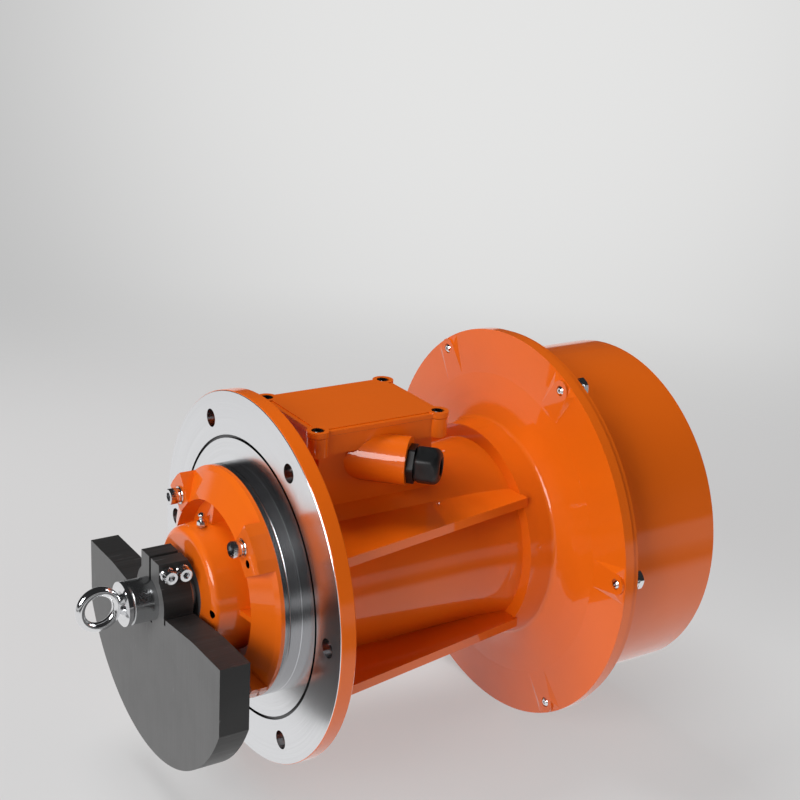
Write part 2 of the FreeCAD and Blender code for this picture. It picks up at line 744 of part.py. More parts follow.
def make_inner_cover(place, face, towards):
    """Plate that closes the bearing on the winding side, with a lip into its seat."""
    body = new_body(f"{place}_inner_cover")
    hole = "shoulder_dia / 2 + inner_cover_gap"
    revolve(body, "plate", [
        (f"{face} - {towards} * (6 - side_gap)", "bearing_dia / 2 - inner_cover_lip"),
        (f"{face} - {towards} * (6 - side_gap)", "bearing_dia / 2"),
        (face, "bearing_dia / 2"),
        (face, "inner_cover_dia / 2"),
        (f"{face} + {towards} * inner_cover_thk", "inner_cover_dia / 2"),
        (f"{face} + {towards} * inner_cover_thk", hole),
        (face, hole),
        (face, "bearing_dia / 2 - inner_cover_lip"),
    ])
    start = f"{face} - 1" if towards == "1" else f"{face} - inner_cover_thk - 1"
    bolt_holes(body, "screw_holes", start, "inner_cover_thk + 2", "small_screw_dia",
               "inner_screw_circle", "inner_screw_count", "45")


def make_shaft():
    """Stepped shaft with the keyway of the front weight and the eye's tapped end."""
    body = new_body("shaft")
    revolve(body, "steps", [
        ("shaft_front_x", "0"),
        ("shaft_front_x", "shaft_end_dia / 2 - shaft_end_bevel"),
        ("shaft_front_x + shaft_end_bevel", "shaft_end_dia / 2"),
        ("front_step_x", "shaft_end_dia / 2"),
        ("front_step_x", "bearing_bore / 2"),
        ("front_bearing_x + bearing_width", "bearing_bore / 2"),
        ("front_bearing_x + bearing_width", "shoulder_dia / 2"),
        ("core_front_x - end_ring_len", "shoulder_dia / 2"),
        ("core_front_x - end_ring_len", "rotor_seat_dia / 2"),
        ("core_front_x + core_len + end_ring_len", "rotor_seat_dia / 2"),
        ("core_front_x + core_len + end_ring_len", "shoulder_dia / 2"),
        ("rear_bearing_x", "shoulder_dia / 2"),
        ("rear_bearing_x", "bearing_bore / 2"),
        ("rear_step_x", "bearing_bore / 2"),
        ("rear_step_x", "shaft_end_dia / 2"),
        ("shaft_rear_x - shaft_end_bevel", "shaft_end_dia / 2"),
        ("shaft_rear_x", "shaft_end_dia / 2 - shaft_end_bevel"),
        ("shaft_rear_x", "0"),
    ])
    keyway = new_sketch(body, "keyway", LEVEL, "-shaft_end_dia / 2 + key_depth")
    rectangle(
        keyway,
        ("weight_x + (weight_thk - key_len) / 2", "-key_width / 2"),
        ("weight_x + (weight_thk + key_len) / 2", "key_width / 2"),
    )
    pocket(body, keyway, "key_depth + 1")
    for name, plane_x, size, forwards in (
        ("eye_tap", "shaft_front_x", "eye_thread", True),
        ("plate_tap", "shaft_rear_x", "eye_thread", False),
    ):
        tap = new_sketch(body, name, ACROSS, plane_x)
        circle(tap, ("0", "0"), f"{size}_dia")
        pocket(body, tap, f"{size}_len + 2", forwards=forwards)


def make_rotor():
    """Laminated core on the shaft, with the cage of bars and end rings cast round it."""
    core = new_body("rotor_core")
    revolve(core, "stack", [
        ("core_front_x", "rotor_seat_dia / 2"),
        ("core_front_x", "rotor_dia / 2"),
        ("core_front_x + core_len", "rotor_dia / 2"),
        ("core_front_x + core_len", "rotor_seat_dia / 2"),
    ])
    slot = new_sketch(core, "slot", ACROSS, "core_front_x")
    rectangle(
        slot,
        ("-rotor_bar_width / 2", "rotor_dia / 2 - rotor_bar_depth"),
        ("rotor_bar_width / 2", "rotor_dia / 2 + 1"),
    )
    ring_of(core, [pocket(core, slot, "core_len", forwards=True)], "rotor_bar_count")
    cage = new_body("rotor_cage")
    for name, low in (("front_ring", "core_front_x - end_ring_len"), ("rear_ring", "core_front_x + core_len")):
        revolve(cage, name, [
            (low, "rotor_dia / 2 - rotor_bar_depth - 4"),
            (low, "rotor_dia / 2 - 1"),
            (f"{low} + end_ring_len", "rotor_dia / 2 - 1"),
            (f"{low} + end_ring_len", "rotor_dia / 2 - rotor_bar_depth - 4"),
        ])
    bar = new_sketch(cage, "bar", ACROSS, "core_front_x - 1")
    rectangle(
        bar,
        ("-rotor_bar_width / 2", "rotor_dia / 2 - rotor_bar_depth"),
        ("rotor_bar_width / 2", "rotor_dia / 2 - 1"),
    )
    ring_of(cage, [pad(cage, bar, "core_len + 2")], "rotor_bar_count")


def make_stator():
    """Slotted core pressed into the barrel, and the winding that fills its slots."""
    bore = "rotor_dia / 2 + air_gap"
    core = new_body("stator_core")
    revolve(core, "stack", [
        ("core_front_x", bore),
        ("core_front_x", "barrel_bore / 2"),
        ("core_front_x + core_len", "barrel_bore / 2"),
        ("core_front_x + core_len", bore),
    ])
    slot = new_sketch(core, "slot", ACROSS, "core_front_x")
    rectangle(
        slot,
        ("-stator_slot_width / 2", f"{bore} - 1"),
        ("stator_slot_width / 2", f"{bore} + stator_slot_depth"),
    )
    ring_of(core, [pocket(core, slot, "core_len", forwards=True)], "stator_slot_count")
    winding = new_body("stator_winding")
    for name, low in (("front_head", "core_front_x - winding_overhang"), ("rear_head", "core_front_x + core_len")):
        revolve(winding, name, [
            (f"{low} + 3", "winding_inner_dia / 2"),
            (low, "winding_inner_dia / 2 + 4"),
            (low, "winding_outer_dia / 2 - 4"),
            (f"{low} + 3", "winding_outer_dia / 2"),
            (f"{low} + winding_overhang - 3", "winding_outer_dia / 2"),
            (f"{low} + winding_overhang", "winding_outer_dia / 2 - 4"),
            (f"{low} + winding_overhang", "winding_inner_dia / 2 + 4"),
            (f"{low} + winding_overhang - 3", "winding_inner_dia / 2"),
        ])
    bar = new_sketch(winding, "slot_bar", ACROSS, "core_front_x - 1")
    rectangle(
        bar,
        ("-stator_slot_width / 2 + slot_fit", "winding_inner_dia / 2 + 1"),
        ("stator_slot_width / 2 - slot_fit", f"{bore} + stator_slot_depth - slot_fit"),
    )
    ring_of(winding, [pad(winding, bar, "core_len + 2")], "stator_slot_count")


def make_weight(label, start, thk, dia, half_width, bore):
    """Eccentric weight: half disc with flat sides and a split clamp for the shaft."""
    body = new_body(label)
    disc = new_sketch(body, "disc", ACROSS, start)
    circle(disc, ("0", "0"), dia)
    pad(body, disc, thk)
    trim = new_sketch(body, "trim", ACROSS, start)
    relief = "weight_hub_dia / 2"
    outline(trim, [
        ("-weight_dia", "weight_top_z"),
        ("-weight_bend_y", "weight_top_z"),
        (f"-{relief} - relief_width", "weight_dip_z"),
        (f"-{relief} - relief_width", "weight_dip_z - relief_depth"),
        (f"-{relief}", "weight_dip_z - relief_depth"),
        (f"-{relief}", "weight_dip_z"),
        (relief, "weight_dip_z"),
        (relief, "weight_dip_z - relief_depth"),
        (f"{relief} + relief_width", "weight_dip_z - relief_depth"),
        (f"{relief} + relief_width", "weight_dip_z"),
        ("weight_bend_y", "weight_top_z"),
        ("weight_dia", "weight_top_z"),
        ("weight_dia", "weight_dia"),
        ("-weight_dia", "weight_dia"),
    ])
    pocket(body, trim, thk, forwards=True)
    for name, side in (("left", "1"), ("right", "-1")):
        flat = new_sketch(body, f"{name}_side", ACROSS, start)
        rectangle(flat, (f"{side} * ({half_width})", "-weight_dia"), (f"{side} * weight_dia", "weight_dia"))
        pocket(body, flat, thk, forwards=True)
    hub = new_sketch(body, "hub", ACROSS, start)
    circle(hub, ("0", "0"), "weight_hub_dia")
    pad(body, hub, thk)
    ears = new_sketch(body, "ears", ACROSS, start)
    rectangle(ears, ("-ear_half_width", "0"), ("ear_half_width", "ear_top_z"))
    pad(body, ears, thk)
    hole = new_sketch(body, "shaft_hole", ACROSS, start)
    circle(hole, ("0", "0"), bore)
    pocket(body, hole, thk, forwards=True)
    slot = new_sketch(body, "clamp_slot", ACROSS, start)
    rectangle(slot, ("-clamp_slot / 2", "0"), ("clamp_slot / 2", "ear_top_z + 1"))
    pocket(body, slot, thk, forwards=True)
    screws = new_sketch(body, "clamp_holes", FRONT_BACK, "-ear_half_width - 1")
    for side in ("-1", "1"):
        circle(screws, (f"{start} + {thk} / 2 + {side} * clamp_screw_pitch / 2", "clamp_screw_z"), "clamp_screw_dia")
    pocket(body, screws, "2 * ear_half_width + 2", forwards=True)
    return body


def make_front_weight():
    """Front eccentric weight, with the keyway in its hub."""
    body = make_weight("front_eccentric_weight", "weight_x", "weight_thk", "weight_dia",
                       "weight_half_width", "shaft_end_dia")
    keyway = new_sketch(body, "hub_keyway", ACROSS, "weight_x")
    rectangle(keyway, ("-key_width / 2", "-shaft_end_dia / 2 - key_proud - side_gap"), ("key_width / 2", "0"))
    pocket(body, keyway, "weight_thk", forwards=True)


def make_clamp_screws(label, start, thk):
    """Two socket-head screws with thick washers, across the weight's split."""
    body = new_body(label)
    middle = f"{start} + {thk} / 2"
    centres = [(f"{middle} + {side} * clamp_screw_pitch / 2", "clamp_screw_z") for side in ("-1", "1")]
    face = "ear_half_width + clamp_washer_thk"
    shank = new_sketch(body, "shank", FRONT_BACK, "-ear_half_width + 2")
    head = new_sketch(body, "head", FRONT_BACK, face)
    socket = new_sketch(body, "socket", FRONT_BACK, f"{face} + clamp_head_len")
    for centre in centres:
        circle(shank, centre, "clamp_screw_dia")
        circle(head, centre, "clamp_head_dia")
        hexagon(socket, centre, "clamp_socket_flats")
    pad(body, shank, "2 * ear_half_width - 2 + clamp_washer_thk")
    pad(body, head, "clamp_head_len")
    pocket(body, socket, "clamp_head_len * socket_share")
    washers = new_body(f"{label[:-6]}washers")
    ring = new_sketch(washers, "ring", FRONT_BACK, "ear_half_width")
    for centre in centres:
        circle(ring, centre, "clamp_washer_dia")
        circle(ring, centre, "clamp_screw_dia")
    pad(washers, ring, "clamp_washer_thk")


def make_front_key():
    body = new_body("front_weight_key")
    sketch = new_sketch(body, "bar", LEVEL, "-shaft_end_dia / 2 + key_depth")
    rectangle(
        sketch,
        ("weight_x + (weight_thk - key_len) / 2", "-key_width / 2"),
        ("weight_x + (weight_thk + key_len) / 2", "key_width / 2"),
    )
    pad(body, sketch, "key_depth + key_proud", backwards=True)


def make_lifting_eye():
    """Eye screwed into the shaft's front end, its ring in the upright plane."""
    seat = "shaft_front_x"
    collar_back = f"{seat} - eye_relief"
    collar_front = f"{collar_back} - eye_collar_thk"
    stem = new_body("lifting_eye")
    revolve(stem, "stem", [
        (f"{seat} + eye_thread_len", "0"),
        (f"{seat} + eye_thread_len", "eye_thread_dia / 2"),
        (seat, "eye_thread_dia / 2"),
        (seat, "eye_collar_dia / 2 - 4"),
        (collar_back, "eye_collar_dia / 2 - 4"),
        (collar_back, "eye_collar_dia / 2"),
        (collar_front, "eye_collar_dia / 2"),
        (collar_front, "eye_neck_dia / 2"),
        ("eye_ring_x + eye_ring_dia / 2 + 1", "eye_neck_top_dia / 2"),
        ("eye_ring_x + eye_ring_dia / 2 + 1", "0"),
    ])
    sketch = new_sketch(stem, "wire", LEVEL)
    circle(sketch, ("eye_ring_x + eye_ring_dia / 2", "0"), "eye_wire_dia")
    centre = value_of("eye_ring_x")
    axis = Part.LineSegment(FreeCAD.Vector(centre, -1, 0), FreeCAD.Vector(centre, 1, 0))
    index = sketch.addGeometry(axis, True)
    fix_point(sketch, index, 1, ("eye_ring_x", "-1"))
    fix_point(sketch, index, 2, ("eye_ring_x", "1"))
    ring = stem.newObject("PartDesign::Revolution", "lifting_eye_ring")
    ring.Profile = sketch
    ring.ReferenceAxis = (sketch, ["Axis0"])
    ring.Angle = 360


def make_nipple(label, x, base_z):
    """Grease nipple, standing upright on its boss."""
    body = new_body(label)
    sketch = new_sketch(body, "turned", FRONT_BACK)
    first = outline(sketch, [
        (x, f"{base_z} - nipple_thread_len"),
        (x, f"{base_z} + nipple_len"),
        (f"{x} + nipple_head_dia / 4", f"{base_z} + nipple_len"),
        (f"{x} + nipple_head_dia / 2", f"{base_z} + nipple_len - 1.6"),
        (f"{x} + nipple_head_dia / 2", f"{base_z} + nipple_len - 3"),
        (f"{x} + nipple_neck_dia / 2", f"{base_z} + nipple_len - 4.6"),
        (f"{x} + nipple_neck_dia / 2", f"{base_z} + nipple_hex_len"),
        (f"{x} + nipple_dia / 2", f"{base_z} + nipple_hex_len"),
        (f"{x} + nipple_dia / 2", base_z),
        (f"{x} + nipple_neck_dia / 2 + 0.5", base_z),
        (f"{x} + nipple_neck_dia / 2 + 0.5", f"{base_z} - nipple_thread_len"),
    ])
    feature = body.newObject("PartDesign::Revolution", f"{label}_turned_body")
    feature.Profile = sketch
    feature.ReferenceAxis = (sketch, [f"Edge{first + 1}"])
    feature.Angle = 360


def make_washers(label, plane_x, thk, outer_dia, hole_dia, circle_dia, first_angle, count):
    body = new_body(label)
    sketch = new_sketch(body, "ring", ACROSS, plane_x)
    centre = around(f"{circle_dia} / 2", first_angle)
    circle(sketch, centre, outer_dia)
    circle(sketch, centre, hole_dia)
    ring_of(body, [pad(body, sketch, thk)], count)


def make_drum():
    """Closed drum over the rear weight, with the flange that bolts to the dish."""
    seat = "dish_rim_x + dish_rim_thk"
    gasket = new_body("cover_gasket")
    revolve(gasket, "ring", [
        (seat, "dish_seat_dia / 2 + 2"),
        (seat, "drum_flange_dia / 2"),
        (f"{seat} + cover_gasket_thk", "drum_flange_dia / 2"),
        (f"{seat} + cover_gasket_thk", "dish_seat_dia / 2 + 2"),
    ])
    face = f"{seat} + cover_gasket_thk"
    drum = new_body("rear_weight_cover")
    revolve(drum, "shell", [
        (face, "drum_dia / 2 - drum_wall"),
        (face, "drum_flange_dia / 2"),
        (f"{face} + drum_flange_thk", "drum_flange_dia / 2"),
        (f"{face} + drum_flange_thk", "drum_dia / 2"),
        ("drum_end_x - drum_corner", "drum_dia / 2"),
        ("drum_end_x", "drum_dia / 2 - drum_corner"),
        ("drum_end_x", "0"),
        ("drum_end_x - drum_end_thk", "0"),
        ("drum_end_x - drum_end_thk", "drum_dia / 2 - drum_wall"),
    ])
    for body in (gasket, drum):
        bolt_holes(body, "bolt_holes", f"{seat} - 1", "cover_gasket_thk + drum_flange_thk + 2", "cover_bolt_dia",
                   "cover_bolt_circle", "cover_bolt_count", "cover_bolt_turn")
    back = f"{face} + drum_flange_thk"
    make_washers("cover_washers", back, "cover_washer_thk", "cover_washer_dia", "cover_bolt_dia",
                 "cover_bolt_circle", "cover_bolt_turn", "cover_bolt_count")
    bolts = new_body("cover_bolts")
    centre = around("cover_bolt_circle / 2", "cover_bolt_turn")
    head = new_sketch(bolts, "head", ACROSS, f"{back} + cover_washer_thk")
    hexagon(head, centre, "cover_bolt_flats")
    shank = new_sketch(bolts, "shank", ACROSS, "boss_top_x - cover_tip")
    circle(shank, centre, "cover_bolt_dia")
    ring_of(bolts, [
        pad(bolts, head, "cover_head_len"),
        pad(bolts, shank, f"{back} + cover_washer_thk - boss_top_x + cover_tip"),
    ], "cover_bolt_count")


def make_terminal_box():
    """Lid with corner lugs, its gasket and screws, and the terminals inside."""
    base = "box_rim_z"
    gasket = new_body("terminal_box_gasket")
    sheet_sketch = new_sketch(gasket, "sheet", LEVEL, base)
    rectangle(sheet_sketch, ("box_front_x", "-box_half_width"), ("box_back_x", "box_half_width"))
    pad(gasket, sheet_sketch, "lid_gasket_thk")
    opening = new_sketch(gasket, "opening", LEVEL, f"{base} + lid_gasket_thk")
    rectangle(
        opening,
        ("box_front_x + pedestal_inset + box_wall", "-box_half_width + pedestal_inset + box_wall"),
        ("box_back_x - pedestal_inset - box_wall", "box_half_width - pedestal_inset - box_wall"),
    )
    pocket(gasket, opening, "lid_gasket_thk")
    lid = new_body("terminal_box_lid")
    low = f"{base} + lid_gasket_thk"
    plate = new_sketch(lid, "plate", LEVEL, low)
    rectangle(
        plate,
        ("box_front_x - lid_overhang", "-box_half_width - lid_overhang"),
        ("box_back_x + lid_overhang", "box_half_width + lid_overhang"),
    )
    pad(lid, plate, "lid_thk")
    panel = new_sketch(lid, "panel", LEVEL, low)
    rectangle(
        panel,
        ("box_front_x - lid_overhang + lid_panel_inset", "-box_half_width - lid_overhang + lid_panel_inset"),
        ("box_back_x + lid_overhang - lid_panel_inset", "box_half_width + lid_overhang - lid_panel_inset"),
    )
    pad(lid, panel, "lid_thk + lid_panel_rise")
    for side in ("front", "back"):
        lugs = new_sketch(lid, f"lugs_{side}", LEVEL, low)
        for half in ("-lid_screw_half_width", "lid_screw_half_width"):
            circle(lugs, (f"lid_screw_{side}_x", half), "lid_lug_dia")
        pad(lid, lugs, "lid_thk + lid_panel_rise")
    screws = new_body("terminal_lid_screws")
    top = f"{low} + lid_thk + lid_panel_rise"
    for piece in (gasket, lid):
        for side in ("front", "back"):
            holes = new_sketch(piece, f"holes_{side}", LEVEL, top)
            for half in ("-lid_screw_half_width", "lid_screw_half_width"):
                circle(holes, (f"lid_screw_{side}_x", half), "lid_screw_dia")
            pocket(piece, holes, "lid_gasket_thk + lid_thk + lid_panel_rise")
    for side in ("front", "back"):
        recess = new_sketch(lid, f"recess_{side}", LEVEL, top)
        for half in ("-lid_screw_half_width", "lid_screw_half_width"):
            circle(recess, (f"lid_screw_{side}_x", half), "lid_head_dia")
        pocket(lid, recess, "lid_head_recess")
    seat = f"{top} - lid_head_recess"
    shank = new_sketch(screws, "shank", LEVEL, f"{seat} - lid_screw_len")
    head = new_sketch(screws, "head", LEVEL, seat)
    socket = new_sketch(screws, "socket", LEVEL, f"{seat} + lid_head_len")
    for x in ("lid_screw_front_x", "lid_screw_back_x"):
        for half in ("-lid_screw_half_width", "lid_screw_half_width"):
            circle(shank, (x, half), "lid_screw_dia")
            circle(head, (x, half), "lid_head_dia - 2 * slot_fit")
            hexagon(socket, (x, half), "lid_head_dia / 2.4")
    pad(screws, shank, "lid_screw_len")
    pad(screws, head, "lid_head_len")
    pocket(screws, socket, "lid_head_len * socket_share")
    block = new_body("terminal_block")
    slab = new_sketch(block, "slab", LEVEL, "cavity_floor_z")
    rectangle(slab, ("block_front_x", "-block_width / 2 + 12"), ("block_front_x + block_len", "block_width / 2 + 12"))
    pad(block, slab, "block_thk")
    studs = new_body("terminal_studs")
    nuts = new_body("terminal_nuts")
    stud = new_sketch(studs, "stud", LEVEL, "cavity_floor_z + block_thk")
    nut = new_sketch(nuts, "nut", LEVEL, "cavity_floor_z + block_thk")
    for column in ("-1", "0", "1"):
        for line in ("-1", "1"):
            centre = (f"block_front_x + block_len / 2 + {column} * stud_pitch", f"12 + {line} * stud_row / 2")
            circle(stud, centre, "stud_dia")
            hexagon(nut, centre, "stud_nut_dia - 2")
            circle(nut, centre, "stud_dia")
    pad(studs, stud, "stud_len")
    pad(nuts, nut, "stud_nut_thk")


def place_on_entry(body):
    """Lay a piece that was modelled along X on the axis of the cable entry."""
    body.setExpression("Placement.Rotation.Yaw", cell("-entry_turn"))
    body.setExpression("Placement.Base.x", cell("entry_cross_x + entry_reach * sin(entry_turn * 1deg)"))
    body.setExpression("Placement.Base.y", cell("-entry_reach * cos(entry_turn * 1deg)"))
    body.setExpression("Placement.Base.z", cell("entry_z - gland_drop"))


def hexagonal_outside(body, name, start, length, flats):
    """Trim a turned piece to a hexagon over a length."""
    trim = new_sketch(body, name, ACROSS, start)
    circle(trim, ("0", "0"), f"2 * ({flats})")
    hexagon(trim, ("0", "0"), flats)
    pocket(body, trim, length, forwards=True)


def make_gland():
    """Cable gland: body screwed into the boss, clamping nut and rubber seal."""
    body = new_body("cable_gland_body")
    revolve(body, "turned", [
        ("-gland_thread_len", "cable_bore_dia / 2"),
        ("-gland_thread_len", "gland_thread_dia / 2"),
        ("0", "gland_thread_dia / 2"),
        ("0", "gland_flange_flats * 0.56"),
        ("gland_flange_len", "gland_flange_flats * 0.56"),
        ("gland_flange_len", "gland_barrel_dia / 2"),
        ("gland_flange_len + gland_barrel_len", "gland_barrel_dia / 2"),
        ("gland_flange_len + gland_barrel_len", "cable_bore_dia / 2"),
    ])
    hexagonal_outside(body, "hex", "0", "gland_flange_len", "gland_flange_flats")
    nut = new_body("cable_gland_nut")
    start = "gland_flange_len + gland_gap"
    end = f"{start} + gland_nut_len"
    revolve(nut, "turned", [
        (start, "gland_barrel_dia / 2"),
        (start, "gland_nut_flats * 0.56"),
        (f"{end} - gland_nut_taper", "gland_nut_flats * 0.56"),
        (end, "gland_nose_dia / 2"),
        (end, "cable_bore_dia / 2"),
        (f"{end} - gland_nut_taper + 2", "cable_bore_dia / 2"),
        (f"{end} - gland_nut_taper + 2", "gland_barrel_dia / 2 - 1"),
        (f"{end} - gland_nut_taper", "gland_barrel_dia / 2"),
    ])
    hexagonal_outside(nut, "hex", start, "gland_nut_len", "gland_nut_flats")
    seal = new_body("cable_gland_seal")
    revolve(seal, "ring", [
        ("gland_flange_len + gland_barrel_len", "gland_seal_bore / 2"),
        ("gland_flange_len + gland_barrel_len", "gland_barrel_dia / 2 - 1"),
        (f"{end} - gland_nut_taper + 2", "gland_barrel_dia / 2 - 1"),
        (f"{end} - gland_nut_taper + 2", "gland_seal_bore / 2"),
    ])
    for piece in (body, nut, seal):
        place_on_entry(piece)


def make_rear_end():
    """Spacer behind the rear bearing, and the plate and screw on the shaft's end."""
    spacer = new_body("rear_spacer")
    revolve(spacer, "sleeve", [
        ("rear_step_x", "shaft_end_dia / 2"),
        ("rear_step_x", "spacer_dia / 2"),
        ("rear_weight_x - side_gap", "spacer_dia / 2"),
        ("rear_weight_x - side_gap", "shaft_end_dia / 2"),
    ])
    plate = new_body("shaft_end_plate")
    revolve(plate, "disc", [
        ("shaft_rear_x", "eye_thread_dia / 2"),
        ("shaft_rear_x", "end_plate_dia / 2"),
        ("shaft_rear_x + end_plate_thk", "end_plate_dia / 2"),
        ("shaft_rear_x + end_plate_thk", "eye_thread_dia / 2"),
    ])
    screw = new_body("shaft_end_screw")
    shank = new_sketch(screw, "shank", ACROSS, "shaft_rear_x + end_plate_thk")
    circle(shank, ("0", "0"), "eye_thread_dia")
    pad(screw, shank, "eye_thread_len + end_plate_thk", backwards=True)
    head = new_sketch(screw, "head", ACROSS, "shaft_rear_x + end_plate_thk")
    hexagon(head, ("0", "0"), "eye_thread_dia * 1.5")
    pad(screw, head, "eye_thread_dia * 0.64")


make_housing()
make_front_shield()
cap_screws("front_shield_screws", "pad_x - shield_washer_thk - spring_washer_thk", "shield_bolt_circle", "45",
           "shield_bolt_count", "shield", "shield_screw_len")
make_washers("front_shield_washers", "pad_x - shield_washer_thk", "shield_washer_thk", "shield_washer_dia",
             "shield_screw_dia", "shield_bolt_circle", "45", "shield_bolt_count")
make_washers("front_spring_washers", "pad_x - shield_washer_thk - spring_washer_thk", "spring_washer_thk",
             "shield_head_dia - 1", "shield_screw_dia", "shield_bolt_circle", "45", "shield_bolt_count")
make_nipple("front_grease_nipple", "nipple_x", "nipple_seat_z")
make_rear_shield()
cap_screws("rear_shield_screws", "neck_back_x + rear_web_thk", "rear_bolt_circle", "30",
           "rear_bolt_count", "small", "small_screw_len", points_back=True)
make_bearing("front", "front_bearing_x")
make_bearing("rear", "rear_bearing_x")
make_seal("front", "hub_front_x", "hub_front_x + seal_width")
make_seal("rear", "neck_back_x + rear_shield_thk - seal_width", "neck_back_x + rear_shield_thk")
make_inner_cover("front", "shield_web_back_x", "1")
make_inner_cover("rear", "rear_bearing_x - 6", "-1")
cap_screws("front_inner_cover_screws", "shield_web_back_x + inner_cover_thk", "inner_screw_circle", "45",
           "inner_screw_count", "small", "small_screw_len", points_back=True)
cap_screws("rear_inner_cover_screws", "rear_bearing_x - 6 - inner_cover_thk", "inner_screw_circle", "45",
           "inner_screw_count", "small", "small_screw_len")
make_shaft()
make_rotor()
make_stator()
make_front_weight()
make_clamp_screws("front_clamp_screws", "weight_x", "weight_thk")
make_front_key()
make_lifting_eye()
make_weight("rear_eccentric_weight", "rear_weight_x", "rear_weight_thk", "rear_weight_dia",
            "rear_weight_half_width", "shaft_end_dia + 2 * running_fit")
make_clamp_screws("rear_clamp_screws", "rear_weight_x", "rear_weight_thk")
make_rear_end()
make_drum()
make_terminal_box()
make_gland()
doc.recompute()

problems = [item.Label for item in doc.Objects if "Invalid" in item.State or "Error" in item.State]
problems += [part.Label for part in parts if part.Shape.isNull() or not part.Shape.isValid()]
if problems:
    raise RuntimeError(f"failed objects: {problems}")
os.makedirs("parts", exist_ok=True)
for part in parts:
    part.Shape.exportStep(f"parts/{part.Label}.step")
    box = part.Shape.BoundBox
    print(f"{part.Label:28s} solids {len(part.Shape.Solids):2d}  volume {part.Shape.Volume:10.0f}  "
          f"x {box.XMin:7.1f} {box.XMax:7.1f}  y {box.YMin:7.1f} {box.YMax:7.1f}  z {box.ZMin:7.1f} {box.ZMax:7.1f}")
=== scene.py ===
"""Flange-mounted vibration motor: its finishes, its fine fasteners and the studio round it.

Everything is in metres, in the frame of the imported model. The shaft runs along X,
from the bare eccentric weight (-X) to the rear drum (+X), with the terminal box on
top (+Z) and the cable gland on the near side (-Y).
"""
import json
import logging
import math
from collections.abc import Callable, Iterable
from dataclasses import dataclass
from enum import Enum

import bpy
from mathutils import Matrix, Vector


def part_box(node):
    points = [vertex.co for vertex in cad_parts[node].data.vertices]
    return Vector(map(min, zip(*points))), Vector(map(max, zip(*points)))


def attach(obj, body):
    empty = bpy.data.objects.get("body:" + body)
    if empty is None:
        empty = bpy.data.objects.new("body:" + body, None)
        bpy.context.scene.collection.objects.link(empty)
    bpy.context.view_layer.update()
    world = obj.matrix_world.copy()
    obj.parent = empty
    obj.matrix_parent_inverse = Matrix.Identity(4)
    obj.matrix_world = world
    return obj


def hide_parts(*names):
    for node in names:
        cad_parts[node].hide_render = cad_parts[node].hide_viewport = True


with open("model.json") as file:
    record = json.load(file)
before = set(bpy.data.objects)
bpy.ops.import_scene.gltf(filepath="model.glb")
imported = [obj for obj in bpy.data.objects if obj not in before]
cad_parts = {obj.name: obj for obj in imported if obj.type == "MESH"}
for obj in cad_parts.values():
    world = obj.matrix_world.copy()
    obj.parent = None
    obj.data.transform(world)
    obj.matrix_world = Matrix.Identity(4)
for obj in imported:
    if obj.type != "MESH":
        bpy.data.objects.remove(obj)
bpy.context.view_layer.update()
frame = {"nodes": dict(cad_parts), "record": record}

LOG = logging.getLogger("vibration_motor")
MM = 0.001
# Half the width of the edge of a mask.
CRISP = 0.05 * MM
SOFT = 0.1 * MM
# An input or an output of a node.
Wire = bpy.types.NodeSocket
Node = bpy.types.Node
# A place, a direction, or a linear colour.
Triple = tuple[float, float, float]


class Body(Enum):
    """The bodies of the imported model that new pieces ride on."""

    FRAME = "frame"
    ROTOR = "rotor"
    REAR_WEIGHT = "rear_weight"


class Slot(Enum):
    """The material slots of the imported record."""

    ORANGE_PAINT = "orange_paint"
    GROUND_STEEL = "ground_steel"
    DARK_STEEL = "dark_steel"
    BRIGHT_ZINC = "bright_zinc"
    BLACK_OXIDE = "black_oxide"
    LAMINATION = "lamination"
    CAST_ALLOY = "cast_alloy"
    COPPER_WINDING = "copper_winding"
    BEARING_BRASS = "bearing_brass"
    SEAL_RUBBER = "seal_rubber"
    BLACK_PLASTIC = "black_plastic"
    TERMINAL_MOULDING = "terminal_moulding"
    TERMINAL_BRASS = "terminal_brass"


class Socket(Enum):
    """The kinds of value that a shader node group takes or gives."""

    NUMBER = "NodeSocketFloat"
    VECTOR = "NodeSocketVector"


